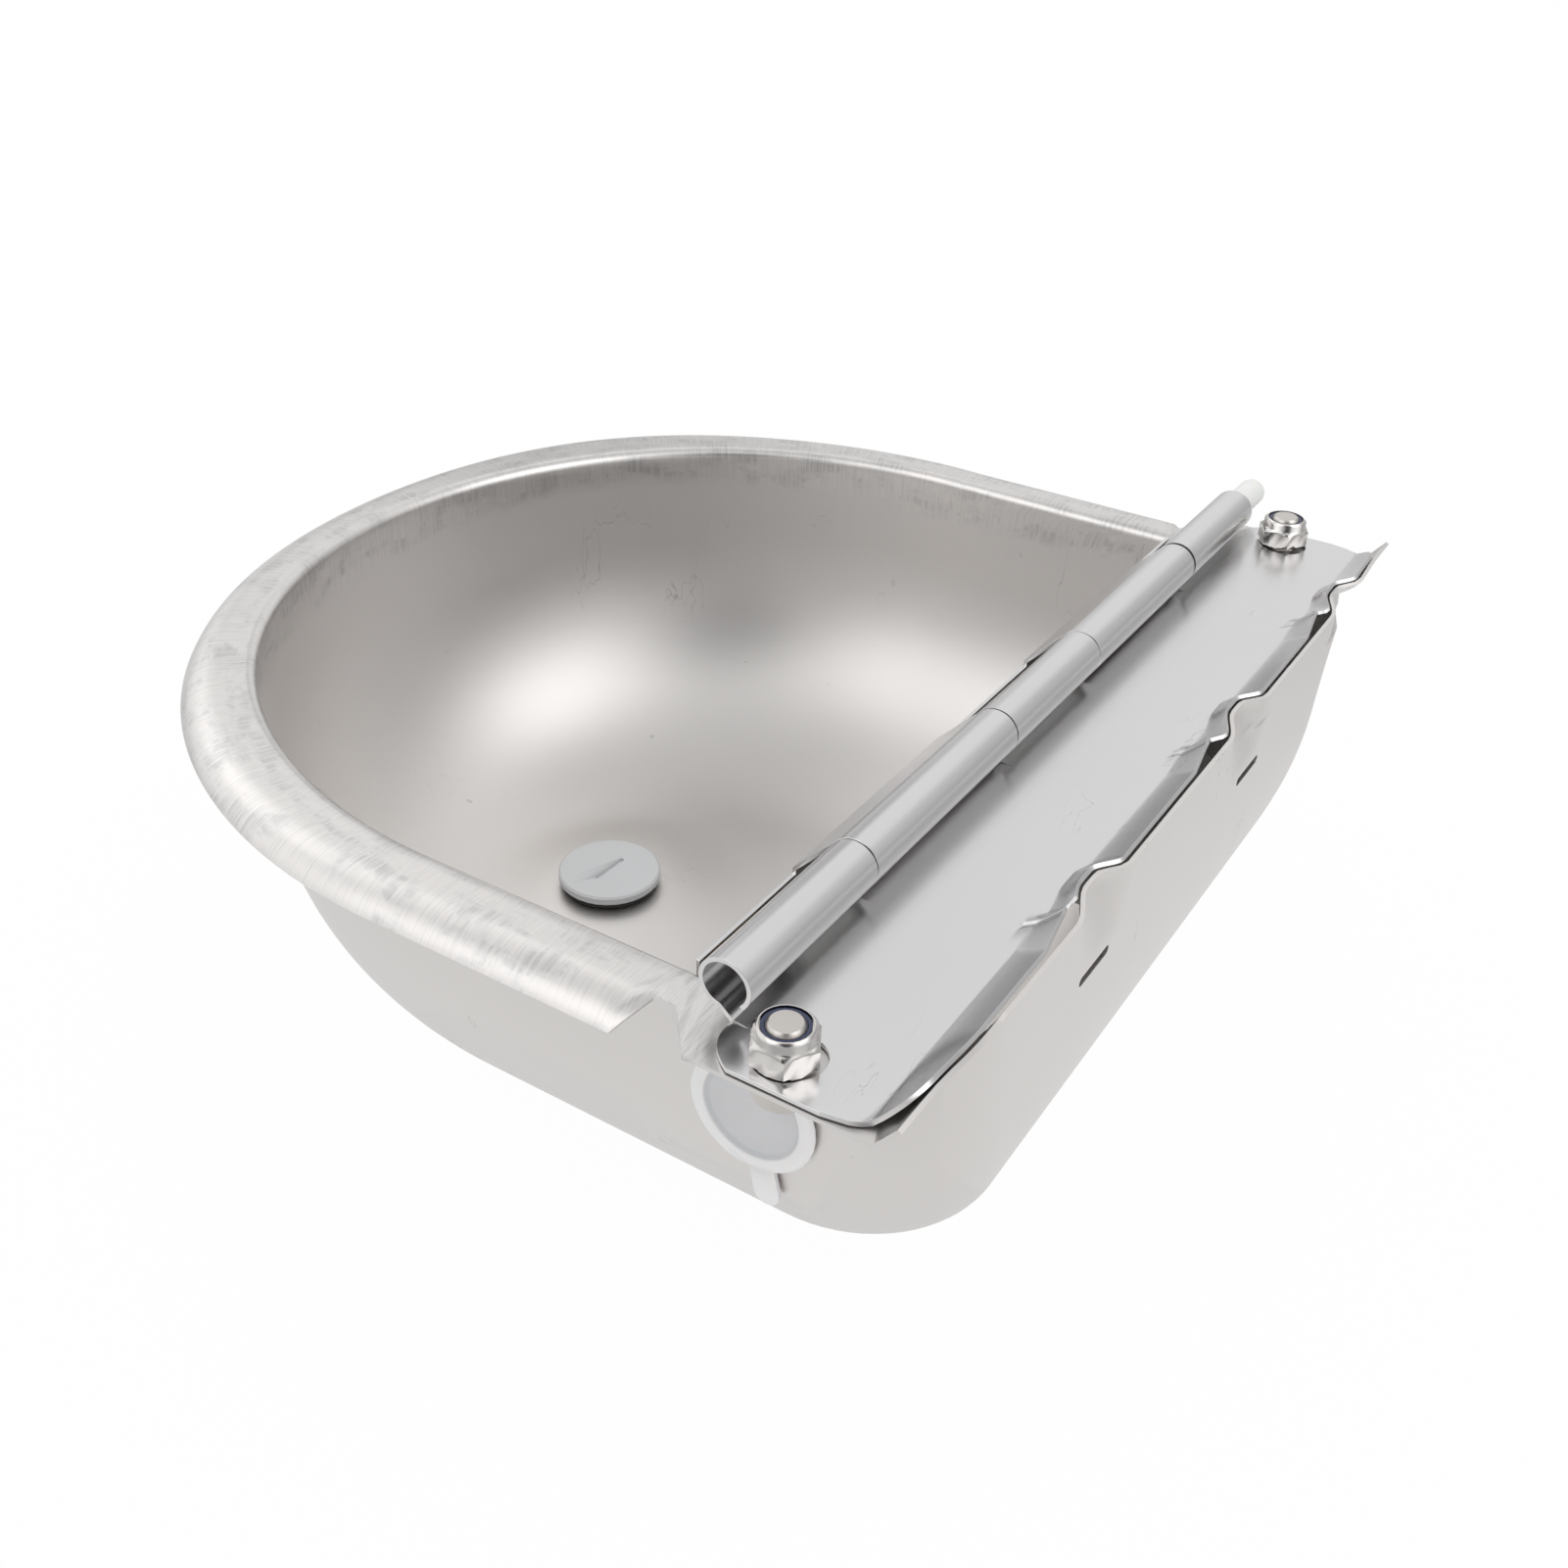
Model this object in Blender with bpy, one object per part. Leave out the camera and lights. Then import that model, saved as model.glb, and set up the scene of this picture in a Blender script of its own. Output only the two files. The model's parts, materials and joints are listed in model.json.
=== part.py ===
"""Livestock drinking bowl: deep-drawn bowl, hinged partition, float valve.

Sizes are in metres and angles in degrees. X runs along the hinge, Y towards
the back wall and Z up. While modelling, zero lies on the hinge line at the
height of the cover's top face; the finished object then stands on its bottom.
"""

import math

import bmesh
import bpy
from mathutils import Matrix, Vector

for old in list(bpy.data.objects):
    bpy.data.objects.remove(old, do_unlink=True)

# Fits
sheet_thickness = 0.0010
seat_gap = 0.0003
thread_gap = 0.0003
running_gap = 0.0004
cut_overrun = 0.0040

# Bowl body, inner face
bowl_half_width = 0.1274
bowl_back = 0.0445
bowl_front_centre = -0.0860
bowl_depth = 0.1030
wall_straight_depth = 0.0300
bottom_half_width = 0.0514
bottom_front_reach = 0.0674
back_sweep = 0.0620
corner_radius = 0.0200
corner_radius_bottom = 0.0450

# Rim, ears and back lip
rim_width = 0.0226
rim_roll_radius = 0.0085
mouth_fillet = 0.0030
ear_front = -0.0013
notch_back = -0.0105
notch_front = -0.0146
rim_end = -0.0204
notch_width = 0.0106
lip_height = 0.0022
lip_start = 0.0385
tip_height = 0.0050
tip_length = 0.0240
tip_margin = 0.0100
lip_fade_shares = (0.3, 0.8)

# Stamped bulges and fixing slots of the back wall
bulge_place_shares = (0.4592, -0.2473, -0.8870)
bulge_foot = 0.0210
bulge_top = 0.0050
bulge_depth = 0.0043
bulge_fade = 0.0140
bulge_shares = (0.0, 0.2, 0.4, 0.6, 0.8, 1.0)
slot_place_shares = (0.4906, -0.2708)
slot_length = 0.0155
slot_height = 0.0024
slot_drop = 0.0165

# Cover plate and hinge
cover_inset = 0.0004
cover_front = 0.0020
cover_edge_gap = 0.0009
cover_corner = 0.0150
ramp_start = 0.0370
ramp_lift = 0.0004
ramp_power = 1.2
dart_place_shares = (0.6907, 0.0432, -0.6122)
dart_length = 0.0155
dart_lean = 0.0070
dart_fall = 0.0040
dart_start = 0.0342
dart_height = 0.0024
dart_pull = 0.0014
dart_shares = (0.0, 0.18, 0.36, 0.55, 0.7, 0.8, 0.9, 1.0, 1.13, 1.26)
hinge_height = 0.0080
knuckle_radius = 0.0055
hinge_inset = 0.0120
knuckle_shares = (0.3457, 0.4812)
far_knuckle_gap = 0.0008
knuckle_start = 258.0
knuckle_turn = 280.0
foot_share = 0.72
foot_rise_share = 0.16
tuck_share = 0.3
reach_share = 1.2
pin_radius = 0.0041
pin_out = 0.0185
pin_in = 0.0270

# Partition flap
flap_front = -0.0145
flap_top = 0.0006
flap_bottom = -0.0780
flap_side_gap = 0.0015
flap_hem = 0.0040
flap_knuckle_end = -98.0
flap_shares = (0, 0.2, 0.4, 0.55, 0.7, 0.82, 0.92, 1)

# Studs and nuts
stud_inset = 0.0090
stud_back = 0.0157
stud_radius = 0.0040
stud_top = 0.0103
stud_head_flats = 0.0130
stud_head_height = 0.0060
nut_flats = 0.0130
nut_hex_height = 0.0055
nut_height = 0.0080
nut_lip = 0.0007
insert_width = 0.0009
cover_hole_radius = 0.0064
cover_hole_shift = 0.0014

# Drain
drain_x = 0.0070
drain_y = -0.1310
drain_seat_radius = 0.0162
drain_dish_radius = 0.0198
drain_dish_height = 0.0024
plug_head_radius = 0.0158
plug_head_height = 0.0030
plug_radius = 0.0098
plug_groove = 0.0006
plug_pitch = 0.0018
plug_slot_length = 0.0132
plug_slot_width = 0.0017
plug_slot_depth = 0.0012
plug_slot_turn = -2.0
gasket_height = 0.0016
gasket_radius = 0.0149
drain_nut_flats = 0.0250
drain_nut_height = 0.0020

# Inlet
inlet_y = 0.0015
inlet_drop = 0.0300
inlet_flat_radius = 0.0165
inlet_bore_radius = 0.0122
socket_radius = 0.0143
socket_length = 0.0180
cap_radius = 0.0152
cap_flange = 0.0016
cap_wall = 0.0012
cap_disc_drop = 0.0010
cap_depth = 0.0070
cap_tab_width = 0.0062
cap_tab_length = 0.0088
cap_tab_turn = 12.0

# Float valve
spigot_length = 0.0080
collar_flats = 0.0256
collar_length = 0.0060
collar_turn = 30.0
gasket_thickness = 0.0016
barrel_radius = 0.0090
barrel_length = 0.0190
barrel_bore = 0.0050
feed_bore = 0.0060
jet_bore = 0.0020
jet_wall = 0.0036
outlet_width = 0.0050
fork_length = 0.0180
fork_width = 0.0030
fork_gap = 0.0106
fork_drop = 0.0150
fork_rise = 0.0060
pivot_drop = 0.0100
pivot_back = 0.0120
lever_pin_radius = 0.0015
clip_thickness = 0.0008
clip_width = 0.0012
clip_opening = 80.0
pin_head_height = 0.0010
plunger_clearance = 0.0004
plunger_length = 0.0150
seal_thickness = 0.0015
plunger_travel = 0.0024

# Float and its arm
lever_width = 0.0070
lever_thickness = 0.0020
lever_tail = 0.0140
wire_radius = 0.0018
wire_shift = 0.0075
wire_run = 0.0240
wire_bend_shares = (0.1, 0.9)
float_start = 0.0900
float_radius = 0.0165
float_end_gap = 0.0273
float_round_share = 0.6
float_boss = 0.0060
float_nut_flats = 0.0080
float_nut_height = 0.0040
arm_drop_angle = 8.0

# Counts and angles
sharp_angle = 30.0
sheet_sharp_angle = 32.0
nut_sharp_angle = 25.0
front_steps = 36
corner_steps = 15
round_steps = 32
small_round_steps = 20
nut_steps = 24
roll_steps = 8
knuckle_steps = 22
fillet_steps = 3
straight_steps = 4
sweep_steps = 10
slot_steps = 8
clip_steps = 14
wire_steps = 12
row_shares = (0, 0.15, 0.35, 0.55, 0.68, 0.77, 0.82, 0.86, 0.9, 0.94, 0.97, 1)
end_shares = (0.0, 0.3, 0.55, 0.75, 0.9, 1.0)

# Derived places
side_sweep = bowl_half_width - bottom_half_width
front_sweep = bowl_half_width - bottom_front_reach
rim_half_width = bowl_half_width + rim_width
tip_end = rim_half_width - tip_margin
tip_start = tip_end - tip_length
cover_half_length = rim_half_width - cover_inset
hinge_half_length = rim_half_width - hinge_inset
stud_place = rim_half_width - stud_inset
bulge_places = [bowl_half_width * share for share in bulge_place_shares]
slot_places = [bowl_half_width * share for share in slot_place_shares]
dart_places = [bowl_half_width * share for share in dart_place_shares]
wall_outer = bowl_half_width + sheet_thickness
back_outer = bowl_back + sheet_thickness
ledge_top = -sheet_thickness - seat_gap
ledge_bottom = ledge_top - sheet_thickness
lift = bowl_depth + sheet_thickness
rim_front = bowl_front_centre - rim_half_width
pin_end = hinge_half_length + pin_out
frame_shift = Vector((
    (pin_end - rim_half_width) / 2,
    -(back_outer + rim_front) / 2,
    lift,
))
inlet_z = -inlet_drop
socket_inner = bowl_half_width - seat_gap - socket_length
collar_face = socket_inner - gasket_thickness - 2 * seat_gap
barrel_face = collar_face - collar_length
valve_end = barrel_face - barrel_length
jet_face = barrel_face - jet_wall
pivot_x = valve_end - pivot_back
pivot_z = inlet_z - pivot_drop
fork_end = valve_end - fork_length
float_length = pivot_x + bowl_half_width - float_start - float_end_gap
drain_seat = -bowl_depth + drain_dish_height


def smooth(value, start, end):
    """Ease from 0 at start to 1 at end."""
    t = min(max((value - start) / (end - start), 0), 1)
    return t * t * (3 - 2 * t)


def ramp(value, start, end):
    return min(max((value - start) / (end - start), 0), 1)


def material(name, colour, roughness, metallic):
    made = bpy.data.materials.new(name)
    made.use_nodes = True
    shader = made.node_tree.nodes["Principled BSDF"]
    shader.inputs["Base Color"].default_value = (*colour, 1)
    shader.inputs["Roughness"].default_value = roughness
    shader.inputs["Metallic"].default_value = metallic
    return made


def place(name, bm, look, pivot=(0, 0, 0), sharp=sharp_angle):
    """Turn a bmesh into a named object whose origin is at its pivot."""
    pivot = Vector(pivot)
    bmesh.ops.recalc_face_normals(bm, faces=bm.faces)
    bm.transform(Matrix.Translation(-pivot))
    mesh = bpy.data.meshes.new(name)
    bm.to_mesh(mesh)
    bm.free()
    mesh.shade_smooth()
    mesh.set_sharp_from_angle(angle=math.radians(sharp))
    made = bpy.data.objects.new(name, mesh)
    made.location = pivot + frame_shift
    bpy.context.collection.objects.link(made)
    made.data.materials.append(look)
    return made


def resmooth(made, sharp=sharp_angle):
    """Shade a cut object smooth again, with its real edges sharp."""
    made.data.shade_smooth()
    made.data.set_sharp_from_angle(angle=math.radians(sharp))


def ring_grid(bm, rings, closed=True):
    """Skin a list of point rings with quads and return the vertex rings."""
    rows = [[bm.verts.new(point) for point in ring] for ring in rings]
    skin_rows(bm, rows, closed)
    return rows


def skin_rows(bm, rows, closed):
    for lower, upper in zip(rows, rows[1:]):
        count = len(lower)
        for i in range(count if closed else count - 1):
            j = (i + 1) % count
            corners = [lower[i], lower[j], upper[j], upper[i]]
            kept = []
            for vert in corners:
                if vert not in kept:
                    kept.append(vert)
            if len(kept) > 2:
                bm.faces.new(kept)


def turned(bm, profile, centre, axis, steps):
    """Revolve a closed (radius, height) outline about an axis through centre."""
    turn = Vector(axis).to_track_quat("Z", "Y").to_matrix().to_4x4()
    frame = Matrix.Translation(Vector(centre)) @ turn
    columns = []
    for i in range(steps):
        angle = 2 * math.pi * i / steps
        columns.append([(radius, height, angle) for radius, height in profile])
    poles = {}
    rows = []
    for column in columns:
        row = []
        for k, (radius, height, angle) in enumerate(column):
            if radius <= 0:
                if k not in poles:
                    poles[k] = bm.verts.new(frame @ Vector((0, 0, height)))
                row.append(poles[k])
            else:
                point = Vector((radius * math.cos(angle), radius * math.sin(angle), height))
                row.append(bm.verts.new(frame @ point))
        rows.append(row)
    count = len(profile)
    for i in range(steps):
        here, there = rows[i], rows[(i + 1) % steps]
        for k in range(count):
            m = (k + 1) % count
            if profile[k][0] <= 0 and profile[m][0] <= 0:
                continue
            kept = []
            for vert in (here[k], here[m], there[m], there[k]):
                if vert not in kept:
                    kept.append(vert)
            bm.faces.new(kept)


def rod_profile(radius, start, end, edge=0):
    """Outline of a plain round bar with a small chamfer at both ends."""
    if edge <= 0:
        return [(0, start), (radius, start), (radius, end), (0, end)]
    return [
        (0, start), (radius - edge, start), (radius, start + edge),
        (radius, end - edge), (radius - edge, end), (0, end),
    ]


def tube_profile(inner, outer, start, end):
    return [(inner, start), (outer, start), (outer, end), (inner, end)]


def extruded(bm, outline, depth_from, depth_to, to_world):
    """Prism between two depths over a flat outline; to_world maps (u, v, w)."""
    near = [bm.verts.new(to_world(u, v, depth_from)) for u, v in outline]
    far = [bm.verts.new(to_world(u, v, depth_to)) for u, v in outline]
    bm.faces.new(near)
    bm.faces.new(list(reversed(far)))
    count = len(outline)
    for i in range(count):
        j = (i + 1) % count
        bm.faces.new((near[j], near[i], far[i], far[j]))


def box(bm, low, high):
    size = Vector(high) - Vector(low)
    middle = (Vector(high) + Vector(low)) / 2
    frame = Matrix.Translation(middle) @ Matrix.Diagonal((*size, 1))
    bmesh.ops.create_cube(bm, size=1, matrix=frame)


def hex_outline(flats, turn=0.0):
    corner = flats / 2 / math.cos(math.pi / 6)
    angles = [math.radians(turn) + math.pi * i / 3 for i in range(6)]
    return [(corner * math.cos(a), corner * math.sin(a)) for a in angles]


def combine(target, tool_bm, operation):
    """Boolean a closed bmesh, given in modelling coordinates, into an object."""
    bmesh.ops.recalc_face_normals(tool_bm, faces=tool_bm.faces)
    mesh = bpy.data.meshes.new("tool")
    tool_bm.transform(Matrix.Translation(frame_shift - target.location))
    tool_bm.to_mesh(mesh)
    tool_bm.free()
    tool = bpy.data.objects.new("tool", mesh)
    tool.location = target.location
    bpy.context.collection.objects.link(tool)
    change = target.modifiers.new("combine", "BOOLEAN")
    change.operation = operation
    change.object = tool
    change.solver = "EXACT"
    bpy.context.view_layer.update()
    graph = bpy.context.evaluated_depsgraph_get()
    result = bpy.data.meshes.new_from_object(target.evaluated_get(graph))
    target.modifiers.clear()
    old = target.data
    target.data = result
    bpy.data.meshes.remove(old)
    bpy.data.objects.remove(tool, do_unlink=True)
    bpy.data.meshes.remove(mesh)


def thicken(made, thickness, offset):
    """Give a sheet its thickness and keep the result as the object's mesh."""
    change = made.modifiers.new("sheet", "SOLIDIFY")
    change.thickness = thickness
    change.offset = offset
    change.use_even_offset = True
    change.use_quality_normals = True
    bpy.context.view_layer.update()
    graph = bpy.context.evaluated_depsgraph_get()
    result = bpy.data.meshes.new_from_object(made.evaluated_get(graph))
    made.modifiers.clear()
    old = made.data
    made.data = result
    bpy.data.meshes.remove(old)


# Looks
brushed = material("brushed_steel", (0.56, 0.54, 0.52), 0.34, 1.0)
bright = material("bright_steel", (0.66, 0.65, 0.66), 0.12, 1.0)
flap_steel = material("flap_steel", (0.60, 0.59, 0.58), 0.26, 1.0)
knuckle_steel = material("knuckle_steel", (0.64, 0.63, 0.63), 0.18, 1.0)
pin_plastic = material("pin_plastic", (0.86, 0.87, 0.84), 0.45, 0.0)
stud_steel = material("stud_steel", (0.70, 0.68, 0.64), 0.25, 1.0)
nut_steel = material("nut_steel", (0.68, 0.66, 0.63), 0.15, 1.0)
insert_nylon = material("insert_nylon", (0.03, 0.04, 0.09), 0.40, 0.0)
plug_plastic = material("plug_plastic", (0.56, 0.60, 0.63), 0.55, 0.0)
drain_rubber = material("drain_rubber", (0.03, 0.03, 0.03), 0.70, 0.0)
lock_steel = material("lock_steel", (0.58, 0.57, 0.55), 0.35, 1.0)
socket_steel = material("socket_steel", (0.55, 0.54, 0.52), 0.38, 1.0)
cap_plastic = material("cap_plastic", (0.78, 0.80, 0.82), 0.40, 0.0)
valve_brass = material("valve_brass", (0.72, 0.53, 0.24), 0.30, 1.0)
valve_rubber = material("valve_rubber", (0.04, 0.04, 0.04), 0.70, 0.0)
plunger_plastic = material("plunger_plastic", (0.82, 0.82, 0.78), 0.45, 0.0)
seal_rubber = material("seal_rubber", (0.06, 0.05, 0.05), 0.75, 0.0)
pivot_steel = material("pivot_steel", (0.66, 0.65, 0.63), 0.22, 1.0)
clip_steel = material("clip_steel", (0.45, 0.45, 0.46), 0.30, 1.0)
lever_steel = material("lever_steel", (0.62, 0.61, 0.60), 0.28, 1.0)
wire_steel = material("wire_steel", (0.64, 0.63, 0.61), 0.24, 1.0)
float_plastic = material("float_plastic", (0.80, 0.80, 0.77), 0.50, 0.0)
float_brass = material("float_brass", (0.70, 0.52, 0.25), 0.32, 1.0)


def lip_top(x):
    """Height of the back wall's top edge, turned up at both ends."""
    return lip_height + (tip_height - lip_height) * smooth(abs(x), tip_start, tip_end)


def lip_level(x, y):
    """Height of the ear's top face, turning up towards the back wall."""
    t = ramp(y, lip_start, bowl_back)
    return ledge_top + (lip_top(x) - ledge_top) * t * t


def bulge_shape(x):
    """Rounded trapezoid of the stamped bulges along the back wall, 0 to 1."""
    share = 0
    for middle in bulge_places:
        share = max(share, 1 - smooth(abs(x - middle), bulge_top / 2, bulge_foot / 2))
    return share


def bulge_marks():
    marks = []
    for middle in bulge_places:
        for share in bulge_shares:
            away = bulge_top / 2 + (bulge_foot - bulge_top) / 2 * share
            marks += [middle + away, middle - away]
    return marks


def back_stations():
    """X places of the back wall's columns, with the bulges' corners."""
    half = bowl_half_width - corner_radius
    kept = [half]
    for mark in sorted(bulge_marks(), reverse=True):
        if abs(mark) < half - seat_gap:
            kept.append(mark)
    return kept + [-half]


def side_stations():
    """Y places of one side's columns, from the corner to the round front."""
    start = bowl_back - corner_radius
    middle = (rim_end + bowl_front_centre) / 2
    return [
        start, (start + inlet_y) / 2, inlet_y, ear_front,
        (ear_front + notch_back) / 2, notch_back, notch_front,
        (notch_front + rim_end) / 2, rim_end, (rim_end + middle) / 2,
        middle, bowl_front_centre,
    ]


def outline(side_in, front_in, back_in, radius):
    """Body outline at one level, as points and outward directions."""
    half = bowl_half_width - side_in
    back = bowl_back - back_in
    front = bowl_half_width - front_in
    straight = bowl_half_width - corner_radius
    top_start = bowl_back - corner_radius
    points = []
    for x in back_stations():
        points.append((x / straight * (half - radius), back, 0, 1))
    for i in range(1, corner_steps + 1):
        angle = math.pi / 2 * (1 + i / corner_steps)
        points.append((
            -(half - radius) + radius * math.cos(angle),
            back - radius + radius * math.sin(angle),
            math.cos(angle), math.sin(angle),
        ))
    sides = []
    for y in side_stations()[1:]:
        t = (y - bowl_front_centre) / (top_start - bowl_front_centre)
        sides.append(bowl_front_centre + t * (back - radius - bowl_front_centre))
    for y in sides:
        points.append((-half, y, -1, 0))
    for i in range(1, front_steps):
        angle = math.pi * (1 + i / front_steps)
        points.append((
            half * math.cos(angle), bowl_front_centre + front * math.sin(angle),
            math.cos(angle), math.sin(angle),
        ))
    for y in reversed(sides):
        points.append((half, y, 1, 0))
    for i in range(corner_steps):
        angle = math.pi / 2 * i / corner_steps
        points.append((
            half - radius + radius * math.cos(angle),
            back - radius + radius * math.sin(angle),
            math.cos(angle), math.sin(angle),
        ))
    return points


def wall_insets(level):
    """How far the inner wall has swept in at a level below the straight part."""
    sweep_depth = bowl_depth - wall_straight_depth
    sine = ramp(-level, wall_straight_depth, bowl_depth)
    turn_in = 1 - math.sqrt(max(1 - sine * sine, 0))
    return side_sweep * turn_in, front_sweep * turn_in, back_sweep * turn_in, turn_in


def rim_path(x, y, out_x, out_y):
    """Points of one column from the wall's top, over the fillet, to the edge."""
    start = ledge_top - mouth_fillet
    if out_x == 0:
        return [(x, y, start), (x, y, lip_top(x))]
    if out_y > 0:
        side_reach = (rim_half_width - abs(x)) / abs(out_x)
        back_reach = (bowl_back - y) / out_y
        reach = min(side_reach, back_reach)
        base = lip_level(x, y)
        fillet = mouth_fillet * (1 - smooth(out_y, *lip_fade_shares))
        path = [(x, y, start)]
        if fillet > 0:
            path += fillet_points(x, y, out_x, out_y, base, fillet)
        else:
            path.append((x, y, base))
        for i in range(1, roll_steps + 1):
            far = fillet + (reach - fillet) * i / roll_steps
            end_x, end_y = x + out_x * far, y + out_y * far
            path.append((end_x, end_y, lip_level(end_x, end_y)))
        return path
    path = fillet_points(x, y, out_x, out_y, ledge_top, mouth_fillet)
    full = rim_half_width - bowl_half_width
    rolled = out_y < 0 or y < notch_front
    if not rolled:
        narrow = notch_width + sheet_thickness
        width = narrow + (full - narrow) * ramp(y, notch_back, ear_front)
        path.append((x + out_x * width, y, ledge_top))
        return path
    flat = full - rim_roll_radius
    arc = rim_roll_radius * math.pi / 2
    length = flat + arc
    if out_y >= 0:
        length = flat + arc * smooth(y, notch_front, rim_end)
    path.append((x + out_x * flat, y + out_y * flat, ledge_top))
    if length > flat:
        for i in range(1, roll_steps + 1):
            angle = (length - flat) / rim_roll_radius * i / roll_steps
            reach = flat + rim_roll_radius * math.sin(angle)
            drop = rim_roll_radius * (1 - math.cos(angle))
            path.append((x + out_x * reach, y + out_y * reach, ledge_top - drop))
    return path


def fillet_points(x, y, out_x, out_y, top, radius):
    points = []
    for i in range(fillet_steps + 1):
        angle = math.pi / 2 * i / fillet_steps
        reach = radius * (1 - math.cos(angle))
        level = top - radius + radius * math.sin(angle)
        points.append((x + out_x * reach, y + out_y * reach, level))
    return points


def along(path, distance):
    """Point at a distance along a path of points."""
    for here, there in zip(path, path[1:]):
        here, there = Vector(here), Vector(there)
        step = (there - here).length
        if distance <= step and step > 0:
            return here.lerp(there, distance / step)
        distance -= step
    return Vector(path[-1])


def path_length(path):
    return sum((Vector(b) - Vector(a)).length for a, b in zip(path, path[1:]))


def build_bowl():
    """Drawn body, rolled rim, ears, back wall, drain dish and holes."""
    bm = bmesh.new()
    top = outline(0, 0, 0, corner_radius)
    fillet_length = mouth_fillet * math.pi / 2
    flat = rim_half_width - bowl_half_width - rim_roll_radius - mouth_fillet
    arc = rim_roll_radius * math.pi / 2
    rim_rows = fillet_steps + 1 + roll_steps
    columns = []
    for x, y, out_x, out_y in top:
        path = rim_path(x, y, out_x, out_y)
        rest = path_length(path) - fillet_length
        marks = [fillet_length * i / fillet_steps for i in range(fillet_steps, 0, -1)]
        shares = [(flat + arc * i / roll_steps) / (flat + arc) for i in range(roll_steps + 1)]
        outer = [fillet_length + rest * share for share in reversed(shares)]
        points = [along(path, mark) for mark in outer + marks]
        points.append(Vector(path[0]))
        column = []
        for point in points:
            push = bulge_depth * bulge_shape(point.x) * ramp(point.z, -bulge_fade, 0)
            if out_y > 0:
                push = push * smooth(point.y, ramp_start, bowl_back)
                point = point - Vector((0, push, 0))
            column.append(point)
        columns.append(column)
    rings = [[column[k] for column in columns] for k in range(rim_rows + 1)]
    start = ledge_top - mouth_fillet
    straight_levels = []
    for i in range(1, straight_steps + 1):
        straight_levels.append(start + (-wall_straight_depth - start) * i / straight_steps)
    swept_levels = []
    for i in range(1, sweep_steps + 1):
        drop = (bowl_depth - wall_straight_depth) * math.sin(math.pi / 2 * i / sweep_steps)
        swept_levels.append(-wall_straight_depth - drop)
    for level in straight_levels + swept_levels:
        side_in, front_in, back_in, turn_in = wall_insets(level)
        radius = corner_radius + (corner_radius_bottom - corner_radius) * turn_in
        ring = []
        for x, y, out_x, out_y in outline(side_in, front_in, back_in, radius):
            if out_x == 1:
                away = max(abs(y - inlet_y), abs(level - inlet_z)) - inlet_flat_radius
                flat_share = 1 - smooth(away, 0, inlet_flat_radius)
                x = x + side_in * flat_share
            push = 0
            if out_x == 0:
                push = bulge_depth * bulge_shape(x) * ramp(level, -bulge_fade, 0)
            ring.append(Vector((x, y - push, level)))
        rings.append(ring)
    rows = ring_grid(bm, rings)
    bottom = rows[-1]
    dish = []
    dish_sizes = (
        (drain_dish_radius, 0),
        ((2 * drain_dish_radius + drain_seat_radius) / 3, drain_dish_height / 4),
        ((drain_dish_radius + 2 * drain_seat_radius) / 3, 3 * drain_dish_height / 4),
        (drain_seat_radius, drain_dish_height),
        (plug_radius + thread_gap, drain_dish_height),
    )
    for radius, rise in dish_sizes:
        ring = []
        for i in range(round_steps):
            angle = 2 * math.pi * i / round_steps
            ring.append((
                drain_x + radius * math.cos(angle),
                drain_y + radius * math.sin(angle),
                -bowl_depth + rise,
            ))
        dish.append(ring)
    dish_rows = ring_grid(bm, dish)
    edges = []
    for row in (bottom, dish_rows[0]):
        for a, b in zip(row, row[1:] + row[:1]):
            edges.append(bm.edges.get((a, b)))
    bmesh.ops.triangle_fill(bm, use_beauty=True, use_dissolve=False, edges=edges)
    bmesh.ops.recalc_face_normals(bm, faces=bm.faces)
    if bottom[0].normal.z < 0:
        bmesh.ops.reverse_faces(bm, faces=bm.faces)
    mesh = bpy.data.meshes.new("bowl_shell")
    bm.normal_update()
    bm.to_mesh(mesh)
    bm.free()
    made = bpy.data.objects.new("bowl_shell", mesh)
    made.location = frame_shift
    bpy.context.collection.objects.link(made)
    made.data.materials.append(brushed)
    thicken(made, sheet_thickness, -1)
    cut_bowl_holes(made)
    resmooth(made, sheet_sharp_angle)
    return made


def slot_outline(length, height, steps=slot_steps):
    """Round-ended slot, long axis first."""
    radius = height / 2
    reach = length / 2 - radius
    points = []
    for side in (1, -1):
        for i in range(steps + 1):
            angle = -math.pi / 2 + math.pi * i / steps
            along_slot = reach + radius * math.cos(angle)
            points.append((side * along_slot, side * radius * math.sin(angle)))
    return points


def cut_bowl_holes(made):
    """Inlet hole, fixing slots and stud holes, cut together."""
    holes = bmesh.new()
    low, high = bowl_half_width - cut_overrun, wall_outer + cut_overrun
    profile = rod_profile(inlet_bore_radius, low, high)
    turned(holes, profile, (0, inlet_y, inlet_z), (1, 0, 0), round_steps)
    for middle in slot_places:
        extruded(
            holes, slot_outline(slot_length, slot_height),
            bowl_back - cut_overrun, back_outer + cut_overrun,
            lambda u, v, w, middle=middle: Vector((middle + u, w, v - slot_drop)),
        )
    low, high = ledge_bottom - cut_overrun / 2, ledge_top + cut_overrun / 2
    for side in (1, -1):
        profile = rod_profile(stud_radius + thread_gap, low, high)
        turned(holes, profile, (side * stud_place, stud_back, 0), (0, 0, 1), small_round_steps)
    combine(made, holes, "DIFFERENCE")


def knuckle_cuts():
    """Ends of the five knuckles along the hinge, near to far."""
    ends = [hinge_half_length]
    for share in knuckle_shares:
        ends.append(ends[-1] - hinge_half_length * share)
    return [*ends, -ends[2], -ends[1], -ends[0]]


def cover_spans():
    cuts = knuckle_cuts()
    return ((cuts[0], cuts[1]), (cuts[2], cuts[3]), (cuts[4] - far_knuckle_gap, cuts[5]))


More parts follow.
